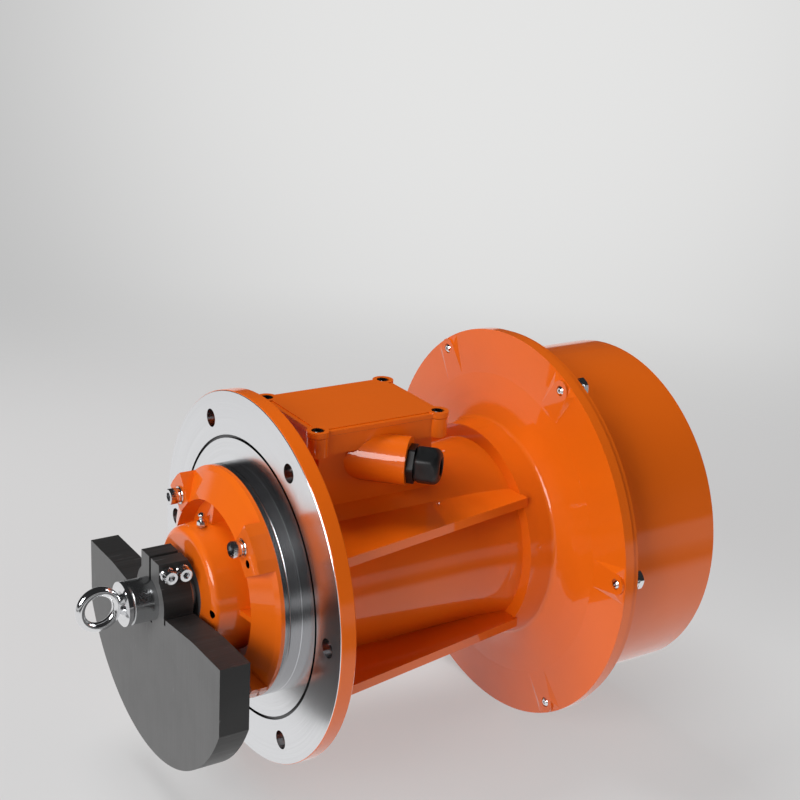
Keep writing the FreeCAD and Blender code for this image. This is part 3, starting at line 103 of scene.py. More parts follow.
class Tree:
    """A node tree that is wired up by short calls."""

    def __init__(self, tree: bpy.types.NodeTree) -> None:
        """Start with an empty tree.

        Args:
            tree: The tree of a material, a world or a group.
        """
        self.tree = tree
        self.tree.nodes.clear()
        self.column = 0

    def node(self, kind: str, **settings: object) -> Node:
        """Add a node.

        Args:
            kind: The node's type name.
            settings: Properties to set on it.

        Returns:
            The new node.
        """
        made = self.tree.nodes.new(kind)
        made.location = (self.column * 180, 0)
        self.column += 1
        for name, value in settings.items():
            setattr(made, name, value)
        return made

    def feed(self, socket: Wire, value: object) -> None:
        """Link an output to a socket, or set the socket to a number, a vector or an opaque colour."""
        if isinstance(value, Wire):
            self.tree.links.new(value, socket)
        elif socket.type == "RGBA":
            socket.default_value = (*value, 1.0)
        else:
            socket.default_value = value

    def fill(self, node: Node, values: dict[str, object]) -> None:
        """Feed a node's inputs by name."""
        for name, value in values.items():
            self.feed(node.inputs[name], value)

    def math(self, operation: str, *values: object) -> Wire:
        """Add a maths node of sockets or numbers and return the result's socket."""
        made = self.node("ShaderNodeMath", operation=operation)
        for socket, value in zip(made.inputs, values):
            self.feed(socket, value)
        return made.outputs[0]

    def times(self, first: object, second: object) -> Wire:
        """Multiply two values and return the product's socket."""
        return self.math("MULTIPLY", first, second)

    def flip(self, share: object) -> Wire:
        """Return the socket of 1 less a share."""
        return self.math("SUBTRACT", 1.0, share)

    def length(self, first: object, second: object) -> Wire:
        """Return the socket of the length over two legs at right angles."""
        legs = [self.math("POWER", leg, 2.0) for leg in (first, second)]
        return self.math("SQRT", self.math("ADD", *legs))

    def distance(self, point: object, centre: Triple) -> Wire:
        """Return the socket of a point's distance from a place."""
        made = self.node("ShaderNodeVectorMath", operation="DISTANCE")
        self.feed(made.inputs[0], point)
        made.inputs[1].default_value = centre
        return made.outputs["Value"]

    def point(self) -> Wire:
        """Return the socket of the shaded point's place."""
        return self.node("ShaderNodeTexCoord").outputs["Object"]

    def split(self, vector: object) -> tuple[Wire, ...]:
        """Return the sockets of a vector's X, Y and Z."""
        made = self.node("ShaderNodeSeparateXYZ")
        self.feed(made.inputs[0], vector)
        return tuple(made.outputs)

    def mix(self, factor: object, first: object, second: object) -> Wire:
        """Mix two colours and return the result's socket."""
        made = self.node("ShaderNodeMix", data_type="RGBA")
        self.feed(made.inputs["Factor"], factor)
        self.feed(made.inputs[6], first)
        self.feed(made.inputs[7], second)
        return made.outputs[2]

    def blend(self, factor: object, first: object, second: object) -> Wire:
        """Mix two numbers and return the result's socket."""
        made = self.node("ShaderNodeMix", data_type="FLOAT")
        self.feed(made.inputs["Factor"], factor)
        self.feed(made.inputs[2], first)
        self.feed(made.inputs[3], second)
        return made.outputs[0]

    def mix_shaders(self, factor: object, first: object, second: object) -> Wire:
        """Mix two shaders and return the result's socket."""
        made = self.node("ShaderNodeMixShader")
        for socket, value in zip(made.inputs, (factor, first, second)):
            self.feed(socket, value)
        return made.outputs[0]

    def spread(self, value: object, low: float, high: float) -> Wire:
        """Map a value from 0..1 to low..high and return the socket."""
        made = self.node("ShaderNodeMapRange")
        self.fill(made, {"Value": value, "To Min": low, "To Max": high})
        return made.outputs["Result"]

    def step(self, value: object, edge: float, softness: float) -> Wire:
        """Return a socket that goes from 0 to 1 as a value passes an edge."""
        made = self.node("ShaderNodeMapRange", interpolation_type="SMOOTHSTEP")
        self.fill(made, {"Value": value, "From Min": edge - softness, "From Max": edge + softness})
        return made.outputs["Result"]

    def noise(self, vector: object, scale: float, detail: float = 3.0) -> Wire:
        """Add a noise texture and return its value's socket."""
        made = self.node("ShaderNodeTexNoise")
        self.fill(made, {"Vector": vector, "Scale": scale, "Detail": detail})
        return made.outputs[0]

    def group(self, group: bpy.types.NodeTree, **values: object) -> Node:
        """Place a node group and feed its inputs by name."""
        made = self.node("ShaderNodeGroup", node_tree=group)
        self.fill(made, values)
        return made


def new_group(
    name: str, inputs: dict[str, float], outputs: dict[str, Socket]
) -> tuple[bpy.types.NodeTree, Tree, Node, Node]:
    """Start a shader node group.

    Args:
        name: The group's name.
        inputs: Its inputs, all of them numbers, each with its usual value.
        outputs: Its outputs, each with its kind.

    Returns:
        The group, its tree, and its input and output nodes.
    """
    group = bpy.data.node_groups.new(name, "ShaderNodeTree")
    for label, usual in inputs.items():
        socket = group.interface.new_socket(label, in_out="INPUT", socket_type=Socket.NUMBER.value)
        socket.default_value = usual
    for label, kind in outputs.items():
        group.interface.new_socket(label, in_out="OUTPUT", socket_type=kind.value)
    tree = Tree(group)
    return group, tree, tree.node("NodeGroupInput"), tree.node("NodeGroupOutput")


class Effects:
    """The node groups that several finishes share, each built once."""

    def __init__(self) -> None:
        """Build all the groups."""
        self.place = self.build_place()
        self.turning = self.build_turning()
        self.handling = self.build_handling()
        self.casting = self.build_casting()

    def build_place(self) -> bpy.types.NodeTree:
        """Return the group that gives a point's distance along and from the shaft."""
        group, tree, _, out = new_group("place_on_shaft", {}, {
            "Point": Socket.VECTOR, "Along": Socket.NUMBER, "Radius": Socket.NUMBER, "Turn": Socket.NUMBER,
        })
        point = tree.point()
        x, y, z = tree.split(point)
        turn = tree.math("ARCTAN2", tree.times(y, -1.0), z)
        tree.fill(out, {"Point": point, "Along": x, "Radius": tree.length(y, z), "Turn": turn})
        return group

    def build_turning(self) -> bpy.types.NodeTree:
        """Return the group of fine rings that a lathe leaves."""
        group, tree, given, out = new_group(
            "turning_marks", {"Fineness": 900.0}, {"Mark": Socket.NUMBER, "Drift": Socket.NUMBER})
        place = tree.group(self.place)
        turned = tree.node("ShaderNodeCombineXYZ")
        tree.fill(turned, {
            "X": tree.times(place.outputs["Radius"], given.outputs["Fineness"]),
            "Y": tree.times(place.outputs["Along"], given.outputs["Fineness"]),
            "Z": tree.times(place.outputs["Turn"], 0.6),
        })
        tree.fill(out, {
            "Mark": tree.noise(turned.outputs[0], 1.0, 4.0),
            "Drift": tree.noise(place.outputs["Point"], 18.0, 2.0),
        })
        return group

    def build_handling(self) -> bpy.types.NodeTree:
        """Return the group of faint smudges and fine scratches from handling."""
        group, tree, given, out = new_group(
            "handling", {"Amount": 0.5}, {"Smudge": Socket.NUMBER, "Scratch": Socket.NUMBER})
        point = tree.point()
        smudge = tree.step(tree.noise(point, 34.0, 5.0), 0.56, 0.14)
        stretch = tree.node("ShaderNodeMapping")
        tree.fill(stretch, {"Vector": point, "Rotation": (0.6, 0.9, 0.3), "Scale": (40.0, 900.0, 60.0)})
        scratch = tree.step(tree.noise(stretch.outputs[0], 1.0, 2.0), 0.74, 0.03)
        tree.fill(out, {
            "Smudge": tree.times(smudge, given.outputs["Amount"]),
            "Scratch": tree.times(scratch, given.outputs["Amount"]),
        })
        return group

    def build_casting(self) -> bpy.types.NodeTree:
        """Return the group of the soft waves of paint over a sand casting."""
        group, tree, given, out = new_group(
            "casting_skin", {"Depth": 1.0}, {"Height": Socket.NUMBER, "Tone": Socket.NUMBER})
        point = tree.point()
        coarse = tree.noise(point, 60.0, 2.0)
        fine = tree.noise(point, 420.0, 2.0)
        height = tree.math("ADD", tree.times(coarse, 0.7), tree.times(fine, 0.3))
        tree.fill(out, {
            "Height": tree.times(height, given.outputs["Depth"]),
            "Tone": tree.noise(point, 7.0, 3.0),
        })
        return group


@dataclass(frozen=True)
class Finish:
    """What every finish has: its slot and how it is built."""

    slot: Slot

    def material(self, effects: Effects) -> bpy.types.Material:
        """Build the material.

        Args:
            effects: The shared node groups.

        Returns:
            The finished material.
        """
        made = bpy.data.materials.new(self.slot.value)
        made.use_nodes = True
        tree = Tree(made.node_tree)
        shader = tree.node("ShaderNodeBsdfPrincipled")
        output = tree.node("ShaderNodeOutputMaterial")
        tree.feed(output.inputs["Surface"], shader.outputs[0])
        tree.fill(shader, self.look(tree, effects))
        return made

    def look(self, tree: Tree, effects: Effects) -> dict[str, object]:
        """Return the shader's inputs by name. Each finish has its own."""
        raise NotImplementedError


def bump(tree: Tree, height: object, distance: float, strength: float = 1.0) -> Wire:
    """Raise a surface by a height.

    Args:
        tree: The material's tree.
        height: The pattern's socket, 0 to 1.
        distance: How far the pattern's 1 stands above its 0, in metres.
        strength: How strongly the bump shows.

    Returns:
        The socket of the bumped surface's normal.
    """
    made = tree.node("ShaderNodeBump")
    tree.fill(made, {"Height": height, "Distance": distance, "Strength": strength})
    return made.outputs[0]


@dataclass(frozen=True)
class Enamel(Finish):
    """Glossy enamel over a casting, with the machined faces left bare.

    Circles and holes are given by their radius, turns in degrees from the top
    towards the near side.
    """

    slot: Slot = Slot.ORANGE_PAINT
    colour: Triple = (0.80, 0.138, 0.004)
    deep: Triple = (0.73, 0.118, 0.003)
    roughness: float = 0.42
    gloss: float = 0.9
    bare: Triple = (0.90, 0.91, 0.93)
    dark: Triple = (0.12, 0.125, 0.13)
    shadowed: Triple = (0.07, 0.07, 0.072)
    face_x: float = 0.45 * MM
    band_x: float = -16.7 * MM
    band_radius: float = 107.9 * MM
    groove_radius: float = 132.0 * MM
    groove_half_width: float = 1.6 * MM
    groove_front: float = 0.15 * MM
    groove_floor: float = 3.0 * MM
    bolt_circle: float = 152.0 * MM
    bolt_hole: float = 9.3 * MM
    bolt_first_turn: float = 30.0
    bolt_pitch: float = 60.0
    hole_front: float = 0.3 * MM
    flange_back: float = 14.8 * MM
    # A darker steel: the spigot ring's own tone, and painted shade on the walls of the bolt holes.
    darker_steel_and_hole_shade: Triple = (0.41, 0.41, 0.42)
    spigot_end: float = -0.3 * MM
    # Near black painted shade inside the jack and puller holes.
    pit_shade: Triple = (0.02, 0.02, 0.021)
    jack_circle: float = 90.0 * MM
    jack_turns: tuple[float, float] = (54.5, 234.5)
    jack_front: float = -36.0 * MM
    puller_circle: float = 52.5 * MM
    puller_turns: tuple[float, float] = (90.0, 270.0)
    puller_front: float = -59.7 * MM
    tapped_hole: float = 3.9 * MM
    tapped_depth: float = 13.0 * MM

    def tapped(self, tree: Tree, place: Node) -> Wire:
        """Return the mask of the walls of the small tapped holes, which take painted shade."""
        flat = tree.node("ShaderNodeVectorMath", operation="MULTIPLY")
        tree.feed(flat.inputs[0], place.outputs["Point"])
        flat.inputs[1].default_value = (0.0, 1.0, 1.0)
        found = 0.0
        for circle, turns, front in (
            (self.jack_circle, self.jack_turns, self.jack_front),
            (self.puller_circle, self.puller_turns, self.puller_front),
        ):
            behind = tree.step(place.outputs["Along"], front, SOFT)
            beyond = tree.step(place.outputs["Along"], front + self.tapped_depth, SOFT)
            inside = tree.times(behind, tree.flip(beyond))
            for turn in map(math.radians, turns):
                centre = (0.0, -circle * math.sin(turn), circle * math.cos(turn))
                away = tree.distance(flat.outputs[0], centre)
                near = tree.flip(tree.step(away, self.tapped_hole, CRISP))
                found = tree.math("MAXIMUM", found, tree.times(near, inside))
        return found

    def machined(self, tree: Tree, place: Node) -> Wire:
        """Return the mask of the bare faces: the ring and the flange's face."""
        along, radius = place.outputs["Along"], place.outputs["Radius"]
        in_band = tree.times(tree.step(along, self.band_x, CRISP),
                             tree.step(radius, self.band_radius, CRISP))
        in_front = tree.flip(tree.step(along, self.face_x, SOFT))
        return tree.times(in_band, in_front)

    def bolt_holes(self, tree: Tree, place: Node) -> Wire:
        """Return the mask of the walls of the flange's bolt holes."""
        along, radius, turn = (place.outputs[name] for name in ("Along", "Radius", "Turn"))
        pitch = math.radians(self.bolt_pitch)
        shift = 2 * math.tau + pitch / 2 - math.radians(self.bolt_first_turn)
        aside = tree.math("SUBTRACT", tree.math("MODULO", tree.math("ADD", turn, shift), pitch), pitch / 2)
        away = tree.length(tree.times(aside, self.bolt_circle),
                           tree.math("SUBTRACT", radius, self.bolt_circle))
        hole = tree.flip(tree.step(away, self.bolt_hole, CRISP))
        in_flange = tree.flip(tree.step(along, self.flange_back, SOFT))
        return tree.times(hole, tree.times(in_flange, tree.step(along, self.hole_front, SOFT)))

    def groove(self, tree: Tree, place: Node) -> Wire:
        """Return the mask of the dark groove in the flange's face."""
        off = tree.math("ABSOLUTE", tree.math("SUBTRACT", place.outputs["Radius"], self.groove_radius))
        near = tree.flip(tree.step(off, self.groove_half_width, CRISP))
        above_floor = tree.flip(tree.step(place.outputs["Along"], self.groove_floor, SOFT))
        below_face = tree.step(place.outputs["Along"], self.groove_front, CRISP)
        return tree.times(near, tree.times(above_floor, below_face))

    def look(self, tree: Tree, effects: Effects) -> dict[str, object]:
        """Return the enamel with its bare faces, and its holes and its groove darkened with painted shade.
        """
        place = tree.group(effects.place)
        skin = tree.group(effects.casting, Depth=1.0)
        marks = tree.group(effects.turning, Fineness=1400.0)
        use = tree.group(effects.handling, Amount=0.5)
        walls = self.bolt_holes(tree, place)
        pits = self.tapped(tree, place)
        groove = tree.math("MAXIMUM", self.groove(tree, place), tree.math("MAXIMUM", pits, walls))
        bare = tree.math("MAXIMUM", self.machined(tree, place), groove)
        spigot = tree.flip(tree.step(place.outputs["Along"], self.spigot_end, SOFT))
        paint = tree.mix(skin.outputs["Tone"], self.colour, self.deep)
        steel = tree.mix(tree.spread(marks.outputs["Mark"], 0.0, 0.16), self.bare, self.dark)
        # Painted shade: the groove takes the shadowed grey, the bolt-hole walls the darker steel and the
        # tapped holes near black. The spigot ring takes the darker steel as its own tone.
        over = ((spigot, self.darker_steel_and_hole_shade), (groove, self.shadowed), (walls, self.darker_steel_and_hole_shade), (pits, self.pit_shade))
        for mask, colour in over:
            steel = tree.mix(mask, steel, colour)
        painted = tree.math("ADD", tree.spread(use.outputs["Smudge"], self.roughness, self.roughness + 0.1),
                            tree.spread(skin.outputs["Tone"], -0.03, 0.03))
        turned = tree.math("ADD", tree.spread(marks.outputs["Mark"], 0.14, 0.24),
                           tree.spread(marks.outputs["Drift"], -0.03, 0.05))
        height = tree.blend(bare, skin.outputs["Height"], tree.spread(marks.outputs["Mark"], 0.0, 0.05))
        return {
            "Base Color": tree.mix(bare, paint, steel),
            "Metallic": bare,
            "Roughness": tree.blend(bare, painted, turned),
            "Coat Weight": tree.times(tree.flip(bare), self.gloss),
            "Coat Roughness": 0.03,
            "Specular IOR Level": 0.2,
            "Normal": bump(tree, height, 0.18 * MM, 0.5),
        }


@dataclass(frozen=True)
class TurnedMetal(Finish):
    """A metal that was turned or ground, with fine rings and slight handling."""

    colour: Triple = (0.62, 0.63, 0.64)
    shade: Triple = (0.40, 0.41, 0.42)
    roughness: tuple[float, float] = (0.16, 0.28)
    fineness: float = 1100.0
    ring_depth: float = 0.012 * MM
    wear: float = 0.5

    def look(self, tree: Tree, effects: Effects) -> dict[str, object]:
        """Return the rings, the drift of tone and the marks of handling."""
        marks = tree.group(effects.turning, Fineness=self.fineness)
        use = tree.group(effects.handling, Amount=self.wear)
        tone = tree.mix(tree.spread(marks.outputs["Mark"], 0.0, 0.6), self.colour, self.shade)
        return {
            "Base Color": tree.mix(use.outputs["Scratch"], tone, self.colour),
            "Metallic": 1.0,
            "Roughness": tree.math("ADD", tree.spread(marks.outputs["Drift"], *self.roughness),
                                   tree.spread(use.outputs["Smudge"], 0.0, 0.12)),
            "Normal": bump(tree, marks.outputs["Mark"], self.ring_depth, 0.6),
        }


@dataclass(frozen=True)
class DarkPlate(Finish):
    """Milled plate under a dark protective coat."""

    slot: Slot = Slot.DARK_STEEL
    face: Triple = (0.115, 0.115, 0.115)
    edge: Triple = (0.012, 0.012, 0.012)
    line: Triple = (0.4, 0.4, 0.4)
    scratch: Triple = (0.32, 0.32, 0.32)
    milling: Triple = (3.0, 900.0, 14.0)
    roughness: float = 0.42

    def look(self, tree: Tree, effects: Effects) -> dict[str, object]:
        """Return the paler faces across the shaft and the darker edges round them."""
        use = tree.group(effects.handling, Amount=0.4)
        skin = tree.group(effects.casting, Depth=0.6)
        coordinates = tree.node("ShaderNodeTexCoord")
        slope, _, _ = tree.split(coordinates.outputs["Normal"])
        # The faces across the shaft take the paler tone and all other faces the darker one, picked by the
        # way each face points.
        across = tree.step(tree.math("ABSOLUTE", slope), 0.85, 0.1)
        milled = tree.node("ShaderNodeMapping")
        tree.fill(milled, {"Vector": coordinates.outputs["Object"], "Scale": self.milling})
        lines = tree.spread(tree.noise(milled.outputs[0], 1.0, 3.0), 0.0, 0.12)
        tone = tree.mix(lines, tree.mix(across, self.edge, self.face), self.line)
        cast = tree.spread(skin.outputs["Tone"], self.roughness - 0.05, self.roughness + 0.08)
        return {
            "Base Color": tree.mix(use.outputs["Scratch"], tone, self.scratch),
            "Metallic": 0.3,
            "Specular IOR Level": 0.3,
            "Roughness": tree.math("ADD", cast, tree.spread(use.outputs["Smudge"], 0.0, 0.1)),
            "Normal": bump(tree, skin.outputs["Height"], 0.08 * MM, 0.4),
        }


@dataclass(frozen=True)
class SheetStack(Finish):
    """Thin sheets stacked along the shaft."""

    slot: Slot = Slot.LAMINATION
    colour: Triple = (0.25, 0.25, 0.27)
    gap: Triple = (0.05, 0.05, 0.055)
    sheet: float = 0.5 * MM

    def look(self, tree: Tree, effects: Effects) -> dict[str, object]:
        """Return the lines between the sheets."""
        place = tree.group(effects.place)
        share = tree.math("FRACT", tree.math("DIVIDE", place.outputs["Along"], self.sheet))
        line = tree.step(tree.math("ABSOLUTE", tree.math("SUBTRACT", share, 0.5)), 0.38, 0.08)
        return {
            "Base Color": tree.mix(line, self.colour, self.gap),
            "Metallic": 0.8,
            "Roughness": tree.spread(line, 0.4, 0.7),
            "Normal": bump(tree, tree.flip(line), 0.06 * MM),
        }


@dataclass(frozen=True)
class Winding(Finish):
    """Varnished copper wire, wound and laced."""

    slot: Slot = Slot.COPPER_WINDING
    colour: Triple = (0.50, 0.20, 0.09)
    varnish: Triple = (0.30, 0.10, 0.03)
    wires_per_metre: float = 900.0

    def look(self, tree: Tree, effects: Effects) -> dict[str, object]:
        """Return the strands round the heads of the coils."""
        place = tree.group(effects.place)
        waves = self.wires_per_metre * math.tau
        strand, weave = (tree.math("SINE", tree.times(place.outputs[name], waves))
                         for name in ("Radius", "Along"))
        tone = tree.noise(place.outputs["Point"], 90.0, 3.0)
        return {
            "Base Color": tree.mix(tone, self.colour, self.varnish),
            "Metallic": 0.6,
            "Roughness": tree.spread(tone, 0.25, 0.45),
            "Coat Weight": 0.5,
            "Normal": bump(tree, tree.times(tree.math("ADD", strand, weave), 0.25), 0.3 * MM),
        }


@dataclass(frozen=True)
class Moulding(Finish):
    """Moulded plastic or rubber, with its faint grain."""

    colour: Triple = (0.014, 0.015, 0.016)
    worn: Triple = (0.03, 0.031, 0.033)
    roughness: tuple[float, float] = (0.26, 0.34)
    grain: float = 2600.0
    grain_depth: float = 0.02 * MM
    sheen: float = 0.0

    def look(self, tree: Tree, effects: Effects) -> dict[str, object]:
        """Return the grain and the greyer, handled areas."""
        use = tree.group(effects.handling, Amount=0.6)
        grain = tree.noise(tree.point(), self.grain, 2.0)
        return {
            "Base Color": tree.mix(use.outputs["Smudge"], self.colour, self.worn),
            "Roughness": tree.spread(grain, *self.roughness),
            "Sheen Weight": self.sheen,
            "Normal": bump(tree, grain, self.grain_depth, 0.5),
        }


FINISHES: tuple[Finish, ...] = (
    Enamel(),
    TurnedMetal(Slot.GROUND_STEEL),
    DarkPlate(),
    TurnedMetal(Slot.BRIGHT_ZINC, colour=(0.86, 0.865, 0.88), shade=(0.68, 0.69, 0.70),
                roughness=(0.07, 0.13), ring_depth=0.004 * MM, wear=0.25),
    TurnedMetal(Slot.BLACK_OXIDE, colour=(0.16, 0.162, 0.17), shade=(0.10, 0.10, 0.105),
                roughness=(0.2, 0.3)),
    SheetStack(),
    TurnedMetal(Slot.CAST_ALLOY, colour=(0.66, 0.67, 0.68), shade=(0.5, 0.5, 0.51), roughness=(0.35, 0.5),
                fineness=300.0),
    Winding(),
    TurnedMetal(Slot.BEARING_BRASS, colour=(0.66, 0.46, 0.18), shade=(0.52, 0.34, 0.12),
                roughness=(0.22, 0.34)),
    Moulding(Slot.SEAL_RUBBER, colour=(0.018, 0.018, 0.019), roughness=(0.6, 0.8), sheen=0.2),
    Moulding(Slot.BLACK_PLASTIC, colour=(0.007, 0.0075, 0.008), roughness=(0.42, 0.5)),
    Moulding(Slot.TERMINAL_MOULDING, colour=(0.30, 0.12, 0.05), worn=(0.36, 0.16, 0.08)),
    TurnedMetal(Slot.TERMINAL_BRASS, colour=(0.74, 0.55, 0.24), shade=(0.6, 0.42, 0.16),
                roughness=(0.2, 0.3)),
)


class Paintshop:
    """Builds every finish once and puts it on the pieces."""

    def __init__(self) -> None:
        """Build the shared effects and all the materials."""
        effects = Effects()
        self.materials = {finish.slot: finish.material(effects) for finish in FINISHES}

    def coat(self, piece: bpy.types.Object, slot: Slot) -> None:
        """Give a piece its material."""
        piece.data.materials.clear()
        piece.data.materials.append(self.materials[slot])

    def coat_nodes(self) -> None:
        """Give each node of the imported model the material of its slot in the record."""
        for row in frame["record"]["subparts"]:
            self.coat(frame["nodes"][row["node"]], Slot(row["material_slot"]))


def select(active: bpy.types.Object, *others: bpy.types.Object) -> None:
    """Select these objects alone, the first of them as the active one."""
    bpy.ops.object.select_all(action="DESELECT")
    for chosen in (active, *others):
        chosen.select_set(True)
    bpy.context.view_layer.objects.active = active


class Cut(Enum):
    """How one blank shapes another."""

    AWAY = "DIFFERENCE"
    SHARED = "INTERSECT"


@dataclass(frozen=True)
class Seat:
    """Where a piece stands: its foot in millimetres, the way its axis points, and its turn in degrees."""

    foot: Triple
    axis: Triple
    turn: float = 0.0

    def matrix(self) -> Matrix:
        """Return the move from the upright model to its seat."""
        aimed = Vector(self.axis).normalized().to_track_quat("Z", "Y").to_matrix().to_4x4()
        turned = Matrix.Rotation(math.radians(self.turn), 4, "Z")
        return Matrix.Translation(Vector(self.foot) * MM) @ aimed @ turned


class Blank:
    """A piece that is raised ring by ring from one flat face, upright on the origin."""

    def __init__(self, name: str, sides: int, rings: Iterable[tuple[float, float]]) -> None:
        """Raise the piece.

        Args:
            name: The piece's name.
            sides: How many sides it has round its axis.
            rings: The height and the radius of each ring in millimetres, from the foot up.
        """
        (height, radius), *rest = rings
        bpy.ops.object.select_all(action="DESELECT")
        bpy.ops.mesh.primitive_circle_add(vertices=sides, radius=radius * MM, fill_type="NGON",
                                          location=(0.0, 0.0, height * MM))
        self.piece = bpy.context.object
        self.piece.name = name
        bpy.ops.object.transform_apply(location=True, rotation=True, scale=True)
        bpy.ops.object.mode_set(mode="EDIT")
        bpy.ops.mesh.select_all(action="SELECT")
        for level, reach in rest:
            bpy.ops.mesh.extrude_region_move(
                TRANSFORM_OT_translate={"value": (0.0, 0.0, (level - height) * MM)})
            share = reach / radius
            bpy.ops.transform.resize(value=(share, share, 1.0), center_override=(0.0, 0.0, 0.0))
            height, radius = level, reach
        bpy.ops.mesh.select_all(action="SELECT")
        bpy.ops.mesh.normals_make_consistent(inside=False)
        bpy.ops.object.mode_set(mode="OBJECT")

    def apply(self, modifier: bpy.types.Modifier) -> None:
        """Make a modifier's result the piece's own mesh."""
        select(self.piece)
        bpy.ops.object.modifier_apply(modifier=modifier.name)

    def cut(self, tool: "Blank", way: Cut) -> "Blank":
        """Shape the piece with another blank, which is used up.

        Args:
            tool: The other blank.
            way: Whether the tool is cut away or what both share is kept.

        Returns:
            This piece.
        """
        modifier = self.piece.modifiers.new("cut", "BOOLEAN")
        modifier.operation = way.value
        modifier.object = tool.piece
        self.apply(modifier)
        bpy.data.objects.remove(tool.piece)
        return self

    def round_edges(self, width: float, steps: int) -> "Blank":
        """Round the sharp edges by a width in millimetres and return the piece."""
        modifier = self.piece.modifiers.new("round", "BEVEL")
        modifier.width = width * MM
        modifier.segments = steps
        modifier.limit_method = "ANGLE"
        modifier.angle_limit = math.radians(35.0)
        self.apply(modifier)
        return self

    def knurl(self, low: float, high: float, radius: float, depth: float) -> "Blank":
        """Press every second edge between two heights inwards, as knurling leaves them.

        Args:
            low: The height where the knurling starts, in millimetres.
            high: The height where it ends.
            radius: The radius of its crests.
            depth: How deep it is.

        Returns:
            This piece.
        """
        bpy.ops.object.mode_set(mode="EDIT")
        bpy.ops.mesh.select_mode(type="VERT")
        bpy.ops.mesh.select_all(action="DESELECT")
        bpy.ops.object.mode_set(mode="OBJECT")
        slack = 0.01 * MM
        rings: dict[float, list[bpy.types.MeshVertex]] = {}
        for vertex in self.piece.data.vertices:
            x, y, z = vertex.co
            if low * MM - slack < z < high * MM + slack and abs(math.hypot(x, y) - radius * MM) < slack:
                rings.setdefault(round(z / MM, 3), []).append(vertex)
        for ring in rings.values():
            ring.sort(key=lambda vertex: math.atan2(vertex.co.y, vertex.co.x))
            for vertex in ring[::2]:
                vertex.select = True
        bpy.ops.object.mode_set(mode="EDIT")
        share = (radius - depth) / radius
        bpy.ops.transform.resize(value=(share, share, 1.0), center_override=(0.0, 0.0, 0.0))
        bpy.ops.object.mode_set(mode="OBJECT")
        return self

    def joined(self, other: "Blank") -> "Blank":
        """Add another blank to this piece and return it."""
        select(self.piece, other.piece)
        bpy.ops.object.join()
        return self

    def stand(self, seats: Iterable[Seat]) -> bpy.types.Object:
        """Stand a copy of the piece on each seat.

        Args:
            seats: The places of the copies.

        Returns:
            All the copies as one piece, with their places in its mesh.
        """
        copies = []
        for seat in seats:
            copy = self.piece.copy()
            copy.data = self.piece.data.copy()
            copy.matrix_world = seat.matrix()
            bpy.context.scene.collection.objects.link(copy)
            copies.append(copy)
        name = self.piece.name
        bpy.data.objects.remove(self.piece)
        select(*copies)
        whole = copies[0]
        if len(copies) > 1:
            bpy.ops.object.join()
        bpy.ops.object.transform_apply(location=True, rotation=True, scale=True)
        whole.name = name
        bpy.ops.object.shade_smooth_by_angle(angle=math.radians(32.0))
        return whole


def corner_radius(flats: float) -> float:
    """Return the radius over the corners of a hexagon of this width over its flats."""
    return flats / math.sqrt(3.0)


@dataclass(frozen=True)
class Ring:
    """Evenly spaced seats on a circle round the shaft, in millimetres and degrees.

    The first one's turn is from the top towards the near side. They point
    towards the rear at 1 and towards the front at -1.
    """

    circle: float
    first: float
    count: int
    towards: float
    twist: float = 17.0

    def seats(self, x: float) -> tuple[Seat, ...]:
        """Return the seats at a place along the shaft."""
        made = []
        for number in range(self.count):
            turn = math.radians(self.first + 360.0 * number / self.count)
            foot = (x, -self.circle / 2 * math.sin(turn), self.circle / 2 * math.cos(turn))
            made.append(Seat(foot, (self.towards, 0.0, 0.0), self.twist * number))
        return tuple(made)


@dataclass(frozen=True)
class CapScrew:
    """A knurled socket-head screw, in millimetres."""

    name: str
    thread: float
    head: float
    height: float
    socket: float
    length: float
    teeth: int
    chamfer: float = 0.6

    def model(self) -> Blank:
        """Return the screw with its head's seat on the origin."""
        crest = self.head / 2
        low, high = 0.5, self.height - 1.4 * self.chamfer
        tip, half = 0.9, self.thread / 2
        screw = Blank(self.name, 2 * self.teeth, [
            (-self.length, half - tip), (-self.length + tip, half), (0.0, half), (0.0, crest - low),
            (low, crest), (high, crest), (self.height, crest - self.chamfer),
        ])
        screw.knurl(low, high, crest, 0.03 * self.head)
        over = corner_radius(self.socket)
        socket = Blank("socket", 6, [(self.height * 0.25, over), (self.height + 1.0, over)])
        return screw.cut(socket, Cut.AWAY)


@dataclass(frozen=True)
class Washer:
    """A flat or split washer, in millimetres."""

    name: str
    across: float
    hole: float
    thickness: float
    split: bool = False

    def model(self) -> Blank:
        """Return the washer lying on the origin."""
        edge, soft = self.across / 2, 0.22 * self.thickness
        washer = Blank(self.name, 48, [(0.0, edge - soft), (soft, edge), (self.thickness - soft, edge),
                                       (self.thickness, edge - soft)])
        ends = (-1.0, self.thickness + 1.0)
        washer.cut(Blank("hole", 48, [(end, self.hole / 2) for end in ends]), Cut.AWAY)
        if self.split:
            slit = Blank("slit", 4, [(end, 3.0) for end in ends])
            slit.piece.location = (self.across * 0.45 * MM, 0.0, 0.0)
            slit.piece.scale = (1.0, 0.22, 1.0)
            washer.cut(slit, Cut.AWAY)
        return washer


